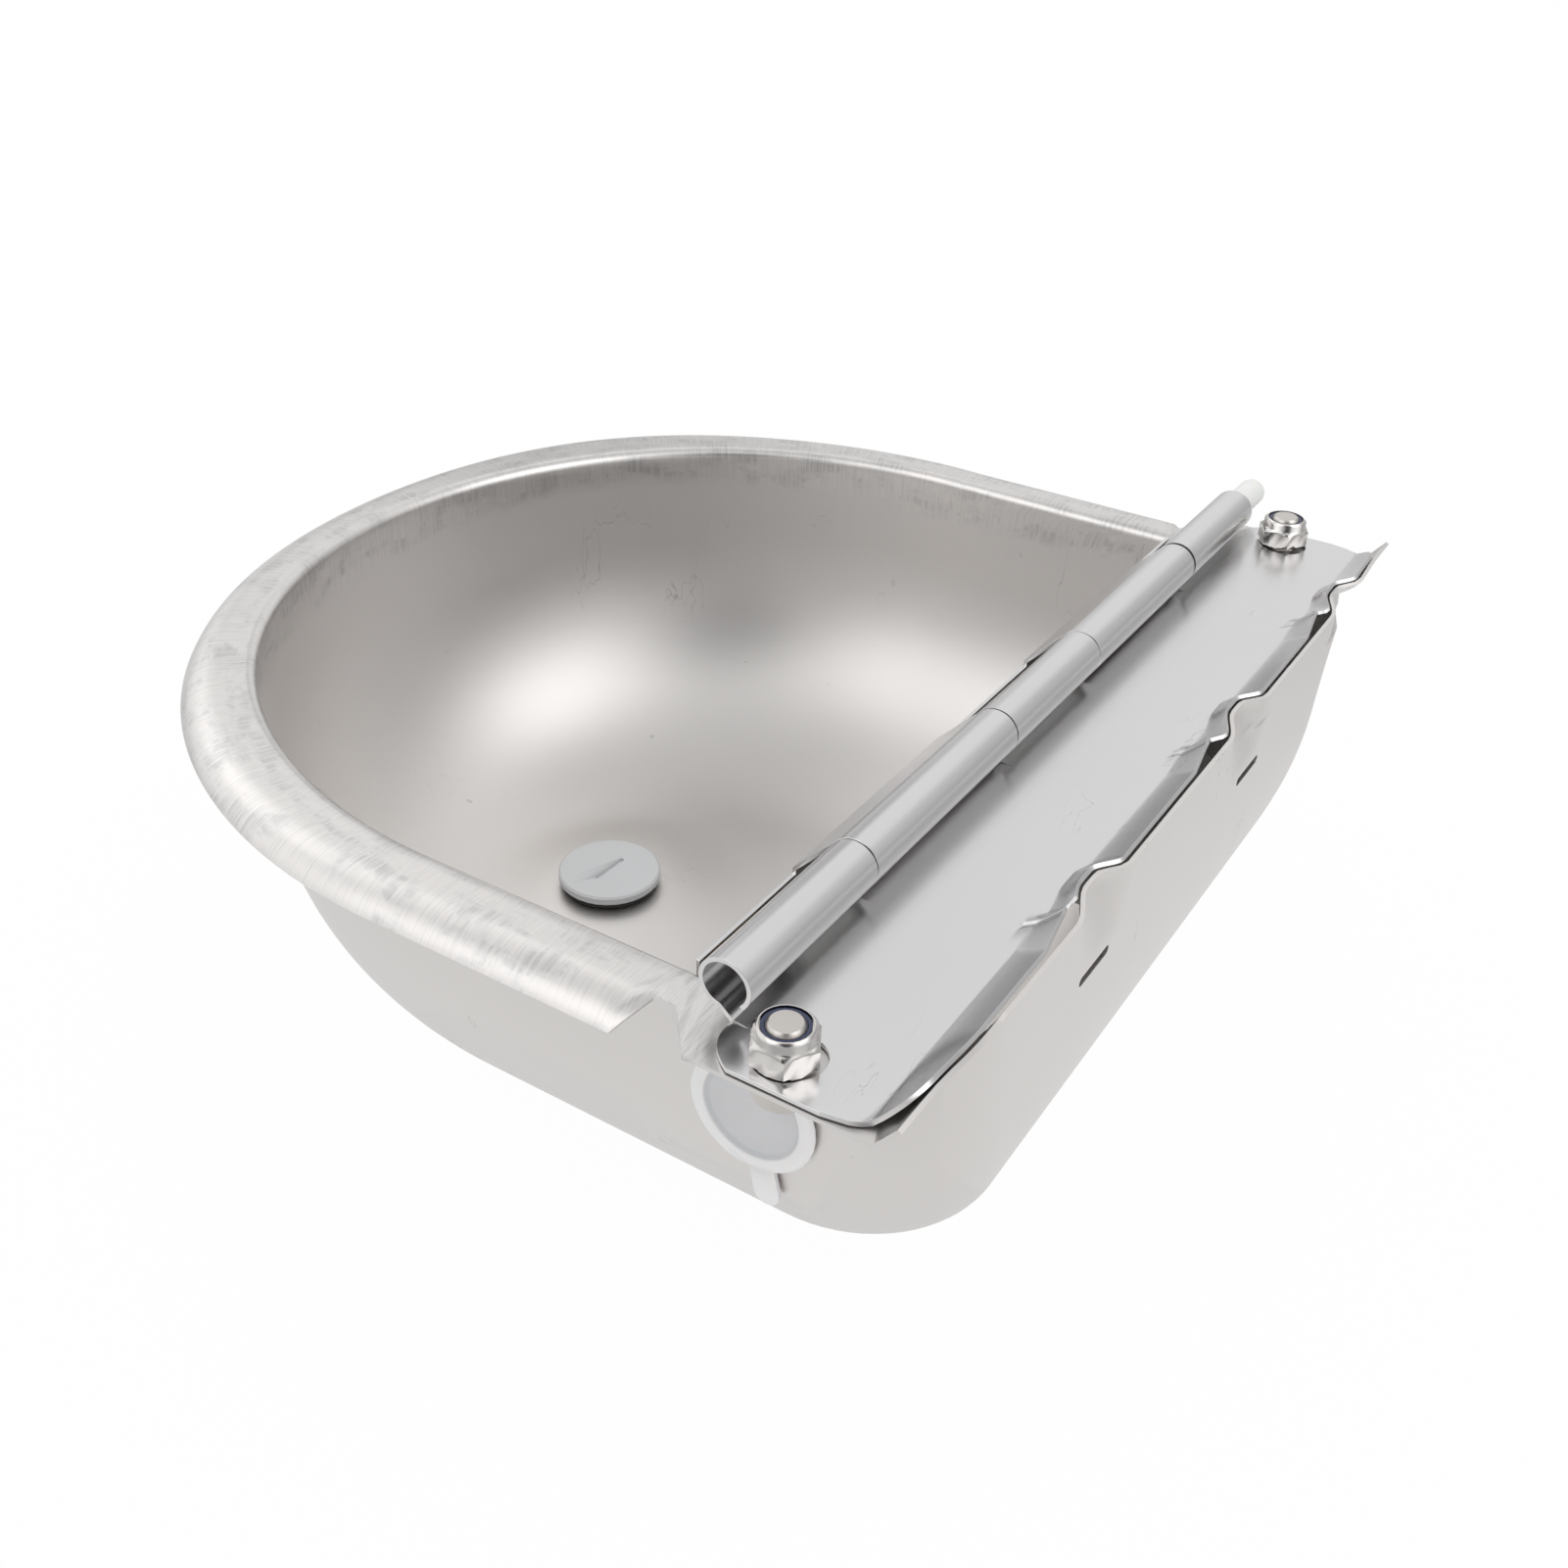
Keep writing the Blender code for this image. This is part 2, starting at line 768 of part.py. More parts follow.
def flap_spans():
    cuts = knuckle_cuts()
    near = (cuts[1] - running_gap, cuts[2] + running_gap)
    far = (cuts[3] - running_gap, cuts[4] + running_gap)
    return near, far


def tube_point(angle):
    """Point of the hinge tube's middle surface, as Y and Z."""
    return knuckle_radius * math.cos(angle), hinge_height + knuckle_radius * math.sin(angle)


def cover_knuckle_path():
    """From the plate's front, up the front of the tube and over to its free edge."""
    plate = -sheet_thickness / 2
    low = hinge_height - knuckle_radius
    foot = knuckle_radius * foot_share
    points = [(foot, plate), (foot / 2, plate + low * foot_rise_share)]
    for i in range(knuckle_steps + 1):
        points.append(tube_point(math.radians(knuckle_start - knuckle_turn * i / knuckle_steps)))
    return points


def cover_front_at(x):
    """Front edge of the plate, tucked under the flap's knuckles."""
    for start, end in cover_spans():
        if end <= x <= start:
            return knuckle_radius
    if abs(x) > hinge_half_length:
        out = ramp(abs(x), hinge_half_length, cover_half_length)
        return knuckle_radius * (tuck_share + reach_share * out ** 3)
    return cover_front


def cover_back_at(x):
    """Back edge of the plate, along the wall and its bulges, round at both ends."""
    back = bowl_back - bulge_depth * bulge_shape(x) - cover_edge_gap
    for foot in dart_places:
        back -= dart_pull * ridge(x, foot, foot - dart_length)
    over = abs(x) - (cover_half_length - cover_corner)
    if over > 0:
        back -= cover_corner - math.sqrt(max(cover_corner ** 2 - over ** 2, 0))
    return back


def ridge(x, foot, top):
    """Slow rise from the foot to the top, then a quick fall beyond it."""
    if x >= top:
        return ramp(-x, -foot, -top)
    return 1 - ramp(-x, -top, dart_fall - top)


def cover_level(x, y):
    """Middle height of the plate, with its raised back edge and darts."""
    rise = lip_top(x) - ledge_top + ramp_lift
    push = bulge_depth * bulge_shape(x)
    pushed = y + push * smooth(y, ramp_start - push, bowl_back - push)
    level = -sheet_thickness / 2 + rise * ramp(pushed, ramp_start, bowl_back) ** ramp_power
    t = ramp(y, dart_start, bowl_back)
    for foot in dart_places:
        level += dart_height * t * ridge(x, foot, foot - dart_length + dart_lean * (1 - t))
    return level


def cover_columns():
    marks = bulge_marks()
    for start, end in cover_spans():
        marks += [start, end]
    for start, end in flap_spans():
        marks += [start, end]
    for foot in dart_places:
        marks += [foot - dart_length * share for share in dart_shares]
    for share in end_shares:
        edge = hinge_half_length + (cover_half_length - hinge_half_length) * share
        marks += [edge, -edge]
    knuckle_ends = [end for span in cover_spans() + flap_spans() for end in span]
    kept = []
    for mark in sorted(set(marks), reverse=True):
        spare = running_gap / 2 if mark in knuckle_ends else 2 * running_gap
        near_end = any(abs(mark - end) < spare for end in knuckle_ends)
        crowded = near_end and mark not in knuckle_ends
        if not crowded and (not kept or kept[-1] - mark > running_gap / 2):
            kept.append(mark)
    return kept


def build_cover():
    """Plate with its raised back edge, darts, knuckles and stud holes."""
    bm = bmesh.new()
    columns = cover_columns()
    rows = []
    for x in columns:
        front, back = cover_front_at(x), cover_back_at(x)
        row = []
        for share in row_shares:
            y = front + (back - front) * share
            row.append(bm.verts.new((x, y, cover_level(x, y))))
        rows.append(row)
    skin_rows(bm, rows, False)
    path = cover_knuckle_path()
    for start, end in cover_spans():
        spare = running_gap / 4
        inside = [k for k, x in enumerate(columns) if end - spare <= x <= start + spare]
        grid = []
        for k in inside:
            points = [rows[k][0]]
            for y, z in path[1:]:
                points.append(bm.verts.new((columns[k], y, z)))
            grid.append(points)
        skin_rows(bm, grid, False)
    made = place("cover_plate", bm, bright)
    thicken(made, sheet_thickness, 0)
    for side in (1, -1):
        hole = bmesh.new()
        profile = rod_profile(cover_hole_radius, -cut_overrun, cut_overrun)
        middle = (side * (stud_place - cover_hole_shift), stud_back + cover_hole_shift, 0)
        turned(hole, profile, middle, (0, 0, 1), small_round_steps)
        combine(made, hole, "DIFFERENCE")
    resmooth(made, sheet_sharp_angle)
    return made


def flap_half_width(z):
    side_in = wall_insets(z)[0]
    return bowl_half_width - side_in - flap_side_gap


def flap_marks():
    """X places of the flap's columns, with the ends of its knuckles."""
    half = flap_half_width(flap_top)
    spans = flap_spans()
    marks = [half, -half, 0]
    for start, end in spans:
        marks += [start, end, (start + end) / 2]
    between = (half + spans[0][0]) / 2
    return sorted(marks + [between, -between], reverse=True)


def build_flap():
    """Hanging partition with its turned bottom edge."""
    bm = bmesh.new()
    half = flap_half_width(flap_top)
    levels = [flap_top + (flap_bottom - flap_top) * share for share in flap_shares]
    grid = []
    for mark in flap_marks():
        row = []
        for level in levels:
            wide = flap_half_width(level)
            if level == levels[-1]:
                wide -= flap_hem
            row.append(bm.verts.new((mark / half * wide, flap_front, level)))
        hem = (flap_half_width(flap_bottom) - 2 * flap_hem) * mark / half
        row.append(bm.verts.new((hem, flap_front + flap_hem / 2, flap_bottom - flap_hem)))
        grid.append(row)
    skin_rows(bm, grid, False)
    made = place("partition_flap", bm, flap_steel, pivot=(0, 0, hinge_height))
    thicken(made, sheet_thickness, 0)
    resmooth(made, sheet_sharp_angle)


def flap_knuckle_path():
    """Up from the flap's top edge, tangent to the tube, over and down its back."""
    foot = flap_top + seat_gap
    start = Vector((flap_front, foot + sheet_thickness))
    away = start - Vector((0, hinge_height))
    turn = math.atan2(away.y, away.x) % (2 * math.pi)
    turn -= math.acos(knuckle_radius / away.length)
    points = [(flap_front, foot), tuple(start)]
    end = math.radians(flap_knuckle_end)
    for i in range(knuckle_steps + 1):
        points.append(tube_point(turn + (end - turn) * i / knuckle_steps))
    return points


def build_flap_knuckle(span, end_name):
    """Rolled knuckle on the flap's top edge, open all along its bore."""
    bm = bmesh.new()
    path = flap_knuckle_path()
    start, end = span
    rows = []
    for x in (start, (start + end) / 2, end):
        rows.append([bm.verts.new((x, y, z)) for y, z in path])
    skin_rows(bm, rows, False)
    pivot = (0, 0, hinge_height)
    made = place("flap_knuckle_" + end_name, bm, knuckle_steel, pivot=pivot)
    thicken(made, sheet_thickness, 0)
    resmooth(made, sheet_sharp_angle)


def build_pin():
    bm = bmesh.new()
    start = -pin_end
    end = hinge_half_length - pin_in
    profile = rod_profile(pin_radius, start, end, sheet_thickness)
    turned(bm, profile, (0, 0, hinge_height), (1, 0, 0), round_steps)
    return place("hinge_pin", bm, pin_plastic, pivot=(-hinge_half_length, 0, hinge_height))


def build_stud(side, end_name):
    """Stud with its round head under the ear."""
    head_top = ledge_bottom - seat_gap
    foot = head_top - stud_head_height
    profile = [
        (0, foot), (stud_head_flats / 2 - nut_lip, foot), (stud_head_flats / 2, foot + nut_lip),
        (stud_head_flats / 2, head_top), (stud_radius, head_top),
        (stud_radius, stud_top - nut_lip), (stud_radius - nut_lip, stud_top), (0, stud_top),
    ]
    bm = bmesh.new()
    turned(bm, profile, (side * stud_place, stud_back, 0), (0, 0, 1), small_round_steps)
    return place("cover_stud_" + end_name, bm, stud_steel)


def nut_ring(side, radius, height, hexed=0):
    """Ring of points about a stud, round or pulled out to the nut's hexagon."""
    middle = Vector((side * stud_place, stud_back, seat_gap))
    points = []
    for i in range(nut_steps):
        angle = 2 * math.pi * i / nut_steps
        to_flat = (angle + math.pi / 6) % (math.pi / 3) - math.pi / 6
        reach = radius + (nut_flats / 2 / math.cos(to_flat) - radius) * hexed
        points.append(middle + Vector((reach * math.cos(angle), reach * math.sin(angle), height)))
    return points


def build_nut(side, end_name):
    """Hexagon below, round collar with its pocket for the nylon above."""
    bore = stud_radius + thread_gap
    round_edge = nut_flats / 2
    collar = round_edge - nut_lip / 2
    inner = bore + insert_width
    pocket = nut_hex_height + nut_lip
    rings = [
        nut_ring(side, bore, 0),
        nut_ring(side, round_edge, 0),
        nut_ring(side, round_edge, nut_lip, 1),
        nut_ring(side, round_edge, nut_hex_height - nut_lip, 1),
        nut_ring(side, round_edge, nut_hex_height),
        nut_ring(side, collar, nut_hex_height + nut_lip / 2),
        nut_ring(side, collar, nut_height - nut_lip),
        nut_ring(side, collar - nut_lip, nut_height),
        nut_ring(side, inner, nut_height),
        nut_ring(side, inner, pocket),
        nut_ring(side, bore, pocket),
    ]
    bm = bmesh.new()
    rows = ring_grid(bm, rings)
    skin_rows(bm, [rows[-1], rows[0]], True)
    return place("cover_nut_" + end_name, bm, nut_steel, sharp=nut_sharp_angle)


def build_insert(side, end_name):
    """Nylon ring in the nut's collar."""
    inner = stud_radius + thread_gap / 2
    outer = stud_radius + thread_gap + insert_width - seat_gap
    low = seat_gap + nut_hex_height + nut_lip + seat_gap
    high = seat_gap + nut_height - nut_lip / 2
    bm = bmesh.new()
    profile = tube_profile(inner, outer, low, high)
    turned(bm, profile, (side * stud_place, stud_back, 0), (0, 0, 1), small_round_steps)
    return place("nut_insert_" + end_name, bm, insert_nylon)


def build_drain():
    centre = (drain_x, drain_y, 0)
    gasket_low = drain_seat + seat_gap
    head_low = gasket_low + gasket_height + seat_gap
    head_top = head_low + plug_head_height
    gasket = bmesh.new()
    inner, gasket_top = plug_radius + 2 * thread_gap, gasket_low + gasket_height
    profile = tube_profile(inner, gasket_radius, gasket_low, gasket_top)
    turned(gasket, profile, centre, (0, 0, 1), round_steps)
    place("drain_gasket", gasket, drain_rubber, pivot=(drain_x, drain_y, drain_seat))
    plug = bmesh.new()
    foot = -bowl_depth - sheet_thickness / 2
    edge = plug_slot_depth / 2
    profile = [
        (0, foot), (plug_radius - edge, foot), (plug_radius, foot + edge),
    ]
    level = foot + edge
    while level + plug_pitch < head_low - plug_pitch:
        profile += [
            (plug_radius, level + plug_pitch / 4),
            (plug_radius - plug_groove, level + plug_pitch / 2),
            (plug_radius, level + 3 * plug_pitch / 4),
        ]
        level += plug_pitch
    profile += [
        (plug_radius, head_low), (plug_head_radius - edge, head_low),
        (plug_head_radius, head_low + edge), (plug_head_radius, head_top - edge),
        (plug_head_radius - edge, head_top), (0, head_top),
    ]
    turned(plug, profile, centre, (0, 0, 1), round_steps)
    made = place("drain_plug", plug, plug_plastic, pivot=(drain_x, drain_y, drain_seat))
    slot = bmesh.new()
    turn = math.radians(plug_slot_turn)
    extruded(
        slot, slot_outline(plug_slot_length, plug_slot_width),
        head_top - plug_slot_depth, head_top + cut_overrun,
        lambda u, v, w: Vector((
            drain_x + u * math.cos(turn) - v * math.sin(turn),
            drain_y + u * math.sin(turn) + v * math.cos(turn), w,
        )),
    )
    combine(made, slot, "DIFFERENCE")
    resmooth(made)
    lock = bmesh.new()
    top = drain_seat - sheet_thickness - seat_gap
    shape = hex_outline(drain_nut_flats)
    extruded(
        lock, shape, top - drain_nut_height, top,
        lambda u, v, w: Vector((drain_x + u, drain_y + v, w)),
    )
    nut = place("drain_locknut", lock, lock_steel)
    bore = bmesh.new()
    low = top - drain_nut_height - cut_overrun
    profile = rod_profile(plug_radius + thread_gap, low, top + cut_overrun)
    turned(bore, profile, centre, (0, 0, 1), round_steps)
    combine(nut, bore, "DIFFERENCE")


def build_inlet():
    centre = (0, inlet_y, inlet_z)
    socket = bmesh.new()
    end = bowl_half_width - seat_gap
    profile = tube_profile(inlet_bore_radius, socket_radius, socket_inner, end)
    turned(socket, profile, centre, (1, 0, 0), round_steps)
    place("inlet_socket", socket, socket_steel)
    cap = bmesh.new()
    back = wall_outer + seat_gap
    front = back + cap_flange
    barrel = inlet_bore_radius - seat_gap
    profile = [
        (barrel - cap_wall, front - cap_disc_drop - cap_wall),
        (barrel - cap_wall, back - cap_depth), (barrel, back - cap_depth + cap_wall),
        (barrel, back), (cap_radius - cap_wall / 2, back), (cap_radius, back + cap_wall / 2),
        (cap_radius, front - cap_wall / 2), (cap_radius - cap_wall / 2, front),
        (barrel, front), (barrel - cap_wall, front - cap_disc_drop), (0, front - cap_disc_drop),
        (0, front - cap_disc_drop - cap_wall),
    ]
    turned(cap, profile, centre, (1, 0, 0), round_steps)
    made = place("inlet_cap", cap, cap_plastic, pivot=(wall_outer, inlet_y, inlet_z))
    tab = bmesh.new()
    turn = math.radians(cap_tab_turn)
    half = cap_tab_width / 2
    round_at = half - cap_radius - cap_tab_length
    shape = [(-half, half - cap_radius)]
    for i in range(slot_steps + 1):
        angle = math.pi + math.pi * i / slot_steps
        shape.append((half * math.cos(angle), round_at + half * math.sin(angle)))
    shape.append((half, half - cap_radius))
    extruded(
        tab, shape, back + seat_gap, front - seat_gap,
        lambda u, v, w: Vector((
            w, inlet_y + u * math.cos(turn) - v * math.sin(turn),
            inlet_z + u * math.sin(turn) + v * math.cos(turn),
        )),
    )
    combine(made, tab, "UNION")
    resmooth(made)


def build_valve():
    """Spigot, hexagon collar, barrel with jet and bore, and the pivot fork."""
    centre = (0, inlet_y, inlet_z)
    spigot = inlet_bore_radius - thread_gap
    spigot_end = socket_inner + spigot_length
    body = bmesh.new()
    profile = rod_profile(spigot, barrel_face + collar_length / 2, spigot_end)
    turned(body, profile, centre, (1, 0, 0), round_steps)
    made = place("valve_body", body, valve_brass)
    collar = bmesh.new()
    extruded(
        collar, hex_outline(collar_flats, collar_turn), barrel_face, collar_face,
        lambda u, v, w: Vector((w, inlet_y + u, inlet_z + v)),
    )
    combine(made, collar, "UNION")
    barrel = bmesh.new()
    profile = rod_profile(barrel_radius, valve_end, barrel_face + collar_length / 4)
    turned(barrel, profile, centre, (1, 0, 0), round_steps)
    combine(made, barrel, "UNION")
    for side in (1, -1):
        edges = sorted((side * fork_gap / 2, side * (fork_gap / 2 + fork_width)))
        ear = bmesh.new()
        box(
            ear,
            (fork_end, inlet_y + edges[0], inlet_z - fork_drop),
            (barrel_face - collar_length / 4, inlet_y + edges[1], inlet_z + fork_rise),
        )
        combine(made, ear, "UNION")
    feed_floor = barrel_face + jet_wall / 3
    water_way = [
        (0, valve_end - cut_overrun), (barrel_bore, valve_end - cut_overrun), (barrel_bore, jet_face),
        (jet_bore, jet_face), (jet_bore, feed_floor), (feed_bore, feed_floor),
        (feed_bore, spigot_end + cut_overrun), (0, spigot_end + cut_overrun),
    ]
    bore = bmesh.new()
    turned(bore, water_way, centre, (1, 0, 0), small_round_steps)
    combine(made, bore, "DIFFERENCE")
    outlet = bmesh.new()
    box(
        outlet,
        (jet_face - outlet_width, inlet_y - outlet_width / 2, inlet_z - fork_drop - cut_overrun),
        (jet_face - seat_gap, inlet_y + outlet_width / 2, inlet_z - outlet_width / 2),
    )
    combine(made, outlet, "DIFFERENCE")
    pivot = bmesh.new()
    half = fork_gap / 2 + fork_width + cut_overrun
    profile = rod_profile(lever_pin_radius + thread_gap, -half, half)
    turned(pivot, profile, (pivot_x, inlet_y, pivot_z), (0, 1, 0), small_round_steps)
    combine(made, pivot, "DIFFERENCE")
    resmooth(made)
    gasket = bmesh.new()
    low = collar_face + seat_gap
    profile = tube_profile(spigot + thread_gap, socket_radius, low, low + gasket_thickness)
    turned(gasket, profile, centre, (1, 0, 0), round_steps)
    place("valve_gasket", gasket, valve_rubber)


def build_plunger():
    centre = (0, inlet_y, inlet_z)
    radius = barrel_bore - plunger_clearance
    tip = jet_face - seat_gap - plunger_travel - seal_thickness
    rear = tip - plunger_length
    bm = bmesh.new()
    stem = seal_thickness / 2
    profile = [
        (0, rear), (radius - stem, rear), (radius, rear + stem), (radius, tip - seat_gap),
        (0, tip - seat_gap),
    ]
    turned(bm, profile, centre, (1, 0, 0), small_round_steps)
    place("valve_plunger", bm, plunger_plastic, pivot=(rear, inlet_y, inlet_z))
    seal = bmesh.new()
    profile = rod_profile(radius - stem / 2, tip, tip + seal_thickness)
    turned(seal, profile, centre, (1, 0, 0), small_round_steps)
    place("plunger_seal", seal, seal_rubber, pivot=(rear, inlet_y, inlet_z))
    return rear


def build_pivot():
    outer = fork_gap / 2 + fork_width
    centre = (pivot_x, inlet_y, pivot_z)
    head = lever_pin_radius + clip_width
    groove_in = outer + seat_gap
    groove_out = groove_in + clip_thickness + 2 * seat_gap
    bm = bmesh.new()
    profile = [
        (0, -outer - seat_gap - pin_head_height), (head, -outer - seat_gap - pin_head_height),
        (head, -outer - seat_gap), (lever_pin_radius, -outer - seat_gap),
        (lever_pin_radius, groove_in), (lever_pin_radius - clip_width / 3, groove_in),
        (lever_pin_radius - clip_width / 3, groove_out), (lever_pin_radius, groove_out),
        (lever_pin_radius, groove_out + clip_thickness), (0, groove_out + clip_thickness),
    ]
    turned(bm, profile, centre, (0, 1, 0), small_round_steps)
    place("lever_pin", bm, pivot_steel)
    clip = bmesh.new()
    inner = lever_pin_radius - clip_width / 3 + seat_gap
    opening = math.radians(clip_opening)
    angles = []
    for i in range(clip_steps + 1):
        angles.append(opening / 2 + (2 * math.pi - opening) * i / clip_steps)
    shape = [(inner * math.cos(angle), inner * math.sin(angle)) for angle in angles]
    shape += [(head * math.cos(angle), head * math.sin(angle)) for angle in reversed(angles)]
    start = groove_in + seat_gap
    extruded(
        clip, shape, start, start + clip_thickness,
        lambda u, v, w: Vector((pivot_x + u, inlet_y + w, pivot_z + v)),
    )
    place("pin_clip", clip, clip_steel)


def arm_frame():
    """Frame of the float arm: u away from the valve, w up, about the pivot."""
    turn = math.radians(arm_drop_angle)
    along_arm = Vector((-math.cos(turn), 0, -math.sin(turn)))
    up = Vector((-math.sin(turn), 0, math.cos(turn)))
    origin = Vector((pivot_x, inlet_y, pivot_z))
    def to_world(u, side, w):
        return origin + along_arm * u + Vector((0, side, 0)) + up * w
    return to_world


def build_lever(rear):
    """Bell crank: a short leg behind the plunger and a tail for the wire."""
    pivot = (pivot_x, inlet_y, pivot_z)
    eye = lever_pin_radius + 2 * lever_thickness
    leg = rear - pivot_x - running_gap
    to_world = arm_frame()
    bm = bmesh.new()
    turned(bm, rod_profile(eye, -lever_width / 2, lever_width / 2), pivot, (0, 1, 0), round_steps)
    made = place("float_lever", bm, lever_steel, pivot=pivot)
    finger = bmesh.new()
    box(
        finger,
        (pivot_x + leg - lever_thickness, inlet_y - lever_width / 2, pivot_z),
        (pivot_x + leg, inlet_y + lever_width / 2, inlet_z + lever_pin_radius),
    )
    combine(made, finger, "UNION")
    web = bmesh.new()
    box(
        web,
        (pivot_x, inlet_y - lever_width / 2, pivot_z - lever_thickness / 2),
        (pivot_x + leg - lever_thickness / 2, inlet_y + lever_width / 2, pivot_z + lever_thickness),
    )
    combine(made, web, "UNION")
    tail = bmesh.new()
    side = lever_width / 2
    half = wire_radius + lever_thickness / 2
    shape = [(0, -half), (lever_tail, -half), (lever_tail, half), (0, half)]
    extruded(tail, shape, -side, side, lambda u, v, w: to_world(u, w, v))
    combine(made, tail, "UNION")
    hole = bmesh.new()
    half_width = lever_width / 2 + cut_overrun
    profile = rod_profile(lever_pin_radius + thread_gap, -half_width, half_width)
    turned(hole, profile, pivot, (0, 1, 0), small_round_steps)
    combine(made, hole, "DIFFERENCE")
    resmooth(made)


def swept_wire(bm, points, radius, steps):
    """Round wire through points, with flat ends."""
    rings = []
    for k, point in enumerate(points):
        before = points[max(k - 1, 0)]
        after = points[min(k + 1, len(points) - 1)]
        heading = (after - before).normalized()
        side = heading.cross(Vector((0, 1, 0))).normalized()
        other = side.cross(heading).normalized()
        ring = []
        for i in range(steps):
            angle = 2 * math.pi * i / steps
            ring.append(point + side * radius * math.cos(angle) + other * radius * math.sin(angle))
        rings.append(ring)
    rows = ring_grid(bm, rings)
    bm.faces.new(rows[0])
    bm.faces.new(list(reversed(rows[-1])))


def build_float():
    """Wire arm, float and the nut that holds it."""
    to_world = arm_frame()
    pivot = (pivot_x, inlet_y, pivot_z)
    start = lever_tail + seat_gap
    wire = bmesh.new()
    points = []
    for i in range(slot_steps + 1):
        share = i / slot_steps
        aside = wire_shift * smooth(share, *wire_bend_shares)
        points.append(to_world(start + wire_run * share, aside, 0))
    nut_start = float_start - float_nut_height - 2 * seat_gap
    points.append(to_world(nut_start, wire_shift, 0))
    points.append(to_world(float_start + float_boss, wire_shift, 0))
    swept_wire(wire, points, wire_radius, wire_steps)
    place("float_wire", wire, wire_steel, pivot=pivot)
    heading = (to_world(float_start, 0, 0) - to_world(0, 0, 0)).normalized()
    base = to_world(0, wire_shift, 0)
    body = bmesh.new()
    bore = wire_radius + seat_gap
    neck = 2 * wire_radius + 2 * seat_gap
    first = float_start
    last = float_start + float_length
    bore_end = first + float_boss + seat_gap
    shoulder = first + float_boss / 3
    profile = [(bore, bore_end), (bore, first), (neck, first), (neck, shoulder)]
    cap_length = float_radius * float_round_share
    for i in range(1, slot_steps + 1):
        angle = math.pi / 2 * i / slot_steps
        radius = neck + (float_radius - neck) * math.sin(angle)
        profile.append((radius, shoulder + cap_length * (1 - math.cos(angle))))
    for i in range(slot_steps):
        angle = math.pi / 2 * (1 - i / slot_steps)
        level = last - cap_length * (1 - math.cos(angle))
        profile.append((float_radius * math.sin(angle), level))
    profile.append((0, last))
    profile.append((0, bore_end))
    turned(body, profile, base, heading, round_steps)
    place("float_body", body, float_plastic, pivot=pivot)
    nut = bmesh.new()
    shape = hex_outline(float_nut_flats)
    side = heading.cross(Vector((0, 1, 0))).normalized()
    low = nut_start
    extruded(
        nut, shape, low, low + float_nut_height,
        lambda u, v, w: base + heading * w + side * u + Vector((0, v, 0)),
    )
    made = place("float_nut", nut, float_brass, pivot=pivot)
    hole = bmesh.new()
    high = low + float_nut_height + cut_overrun / 4
    profile = rod_profile(wire_radius + thread_gap, low - cut_overrun, high)
    turned(hole, profile, base, heading, wire_steps)
    combine(made, hole, "DIFFERENCE")


build_bowl()
build_cover()
build_flap()
for span, end_name in zip(flap_spans(), ("near", "far")):
    build_flap_knuckle(span, end_name)
build_pin()
for side, end_name in ((1, "near"), (-1, "far")):
    build_stud(side, end_name)
    build_nut(side, end_name)
    build_insert(side, end_name)
build_drain()
build_inlet()
build_valve()
build_pivot()
build_lever(build_plunger())
build_float()
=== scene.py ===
# Livestock drinking bowl: finishes, fine surfaces, studio and camera.
import json
import math

import bmesh
import bpy
from mathutils import Matrix, Vector


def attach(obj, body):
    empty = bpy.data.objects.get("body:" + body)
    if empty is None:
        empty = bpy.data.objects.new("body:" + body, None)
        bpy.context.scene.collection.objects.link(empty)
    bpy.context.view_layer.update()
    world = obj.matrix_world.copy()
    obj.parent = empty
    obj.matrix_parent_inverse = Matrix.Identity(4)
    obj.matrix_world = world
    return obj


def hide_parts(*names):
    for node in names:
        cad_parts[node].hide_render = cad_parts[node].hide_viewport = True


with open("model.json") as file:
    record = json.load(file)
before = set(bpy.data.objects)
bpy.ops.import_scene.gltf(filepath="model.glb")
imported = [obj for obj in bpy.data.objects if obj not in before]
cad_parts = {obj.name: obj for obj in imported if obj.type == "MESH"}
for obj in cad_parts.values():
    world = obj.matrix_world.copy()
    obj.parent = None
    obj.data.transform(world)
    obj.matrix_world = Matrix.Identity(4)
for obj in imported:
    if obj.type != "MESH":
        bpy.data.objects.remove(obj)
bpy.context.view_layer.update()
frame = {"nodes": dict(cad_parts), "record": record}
nodes = frame["nodes"]
mm = 0.001
print("frame loaded:", len(nodes), "CAD nodes")

# the hinge line and the cover's top face, in the frame's coordinates
home = Vector((0.00325, 0.09525, 0.104))


# shader maths: sockets with operators, and one maker for any node


class Wire:
    def __init__(self, bench, socket):
        self.bench = bench
        self.socket = socket

    def pair(self, operation, first, second):
        return self.bench.node("ShaderNodeMath", {"operation": operation}, {0: first, 1: second})

    def __add__(self, other):
        return self.pair("ADD", self, other)

    def __radd__(self, other):
        return self.pair("ADD", other, self)

    def __sub__(self, other):
        return self.pair("SUBTRACT", self, other)

    def __rsub__(self, other):
        return self.pair("SUBTRACT", other, self)

    def __mul__(self, other):
        return self.pair("MULTIPLY", self, other)

    def __rmul__(self, other):
        return self.pair("MULTIPLY", other, self)

    def __truediv__(self, other):
        return self.pair("DIVIDE", self, other)

    def __rtruediv__(self, other):
        return self.pair("DIVIDE", other, self)

    def __abs__(self):
        return self.bench.node("ShaderNodeMath", {"operation": "ABSOLUTE"}, {0: self})

    def atLeast(self, other):
        return self.pair("MAXIMUM", self, other)

    def atMost(self, other):
        return self.pair("MINIMUM", self, other)

    def between(self, low, high):  # smooth 0 to 1 as the value goes from low to high
        settings = {"interpolation_type": "SMOOTHSTEP"}
        return self.bench.node("ShaderNodeMapRange", settings, {0: self, 1: low, 2: high})


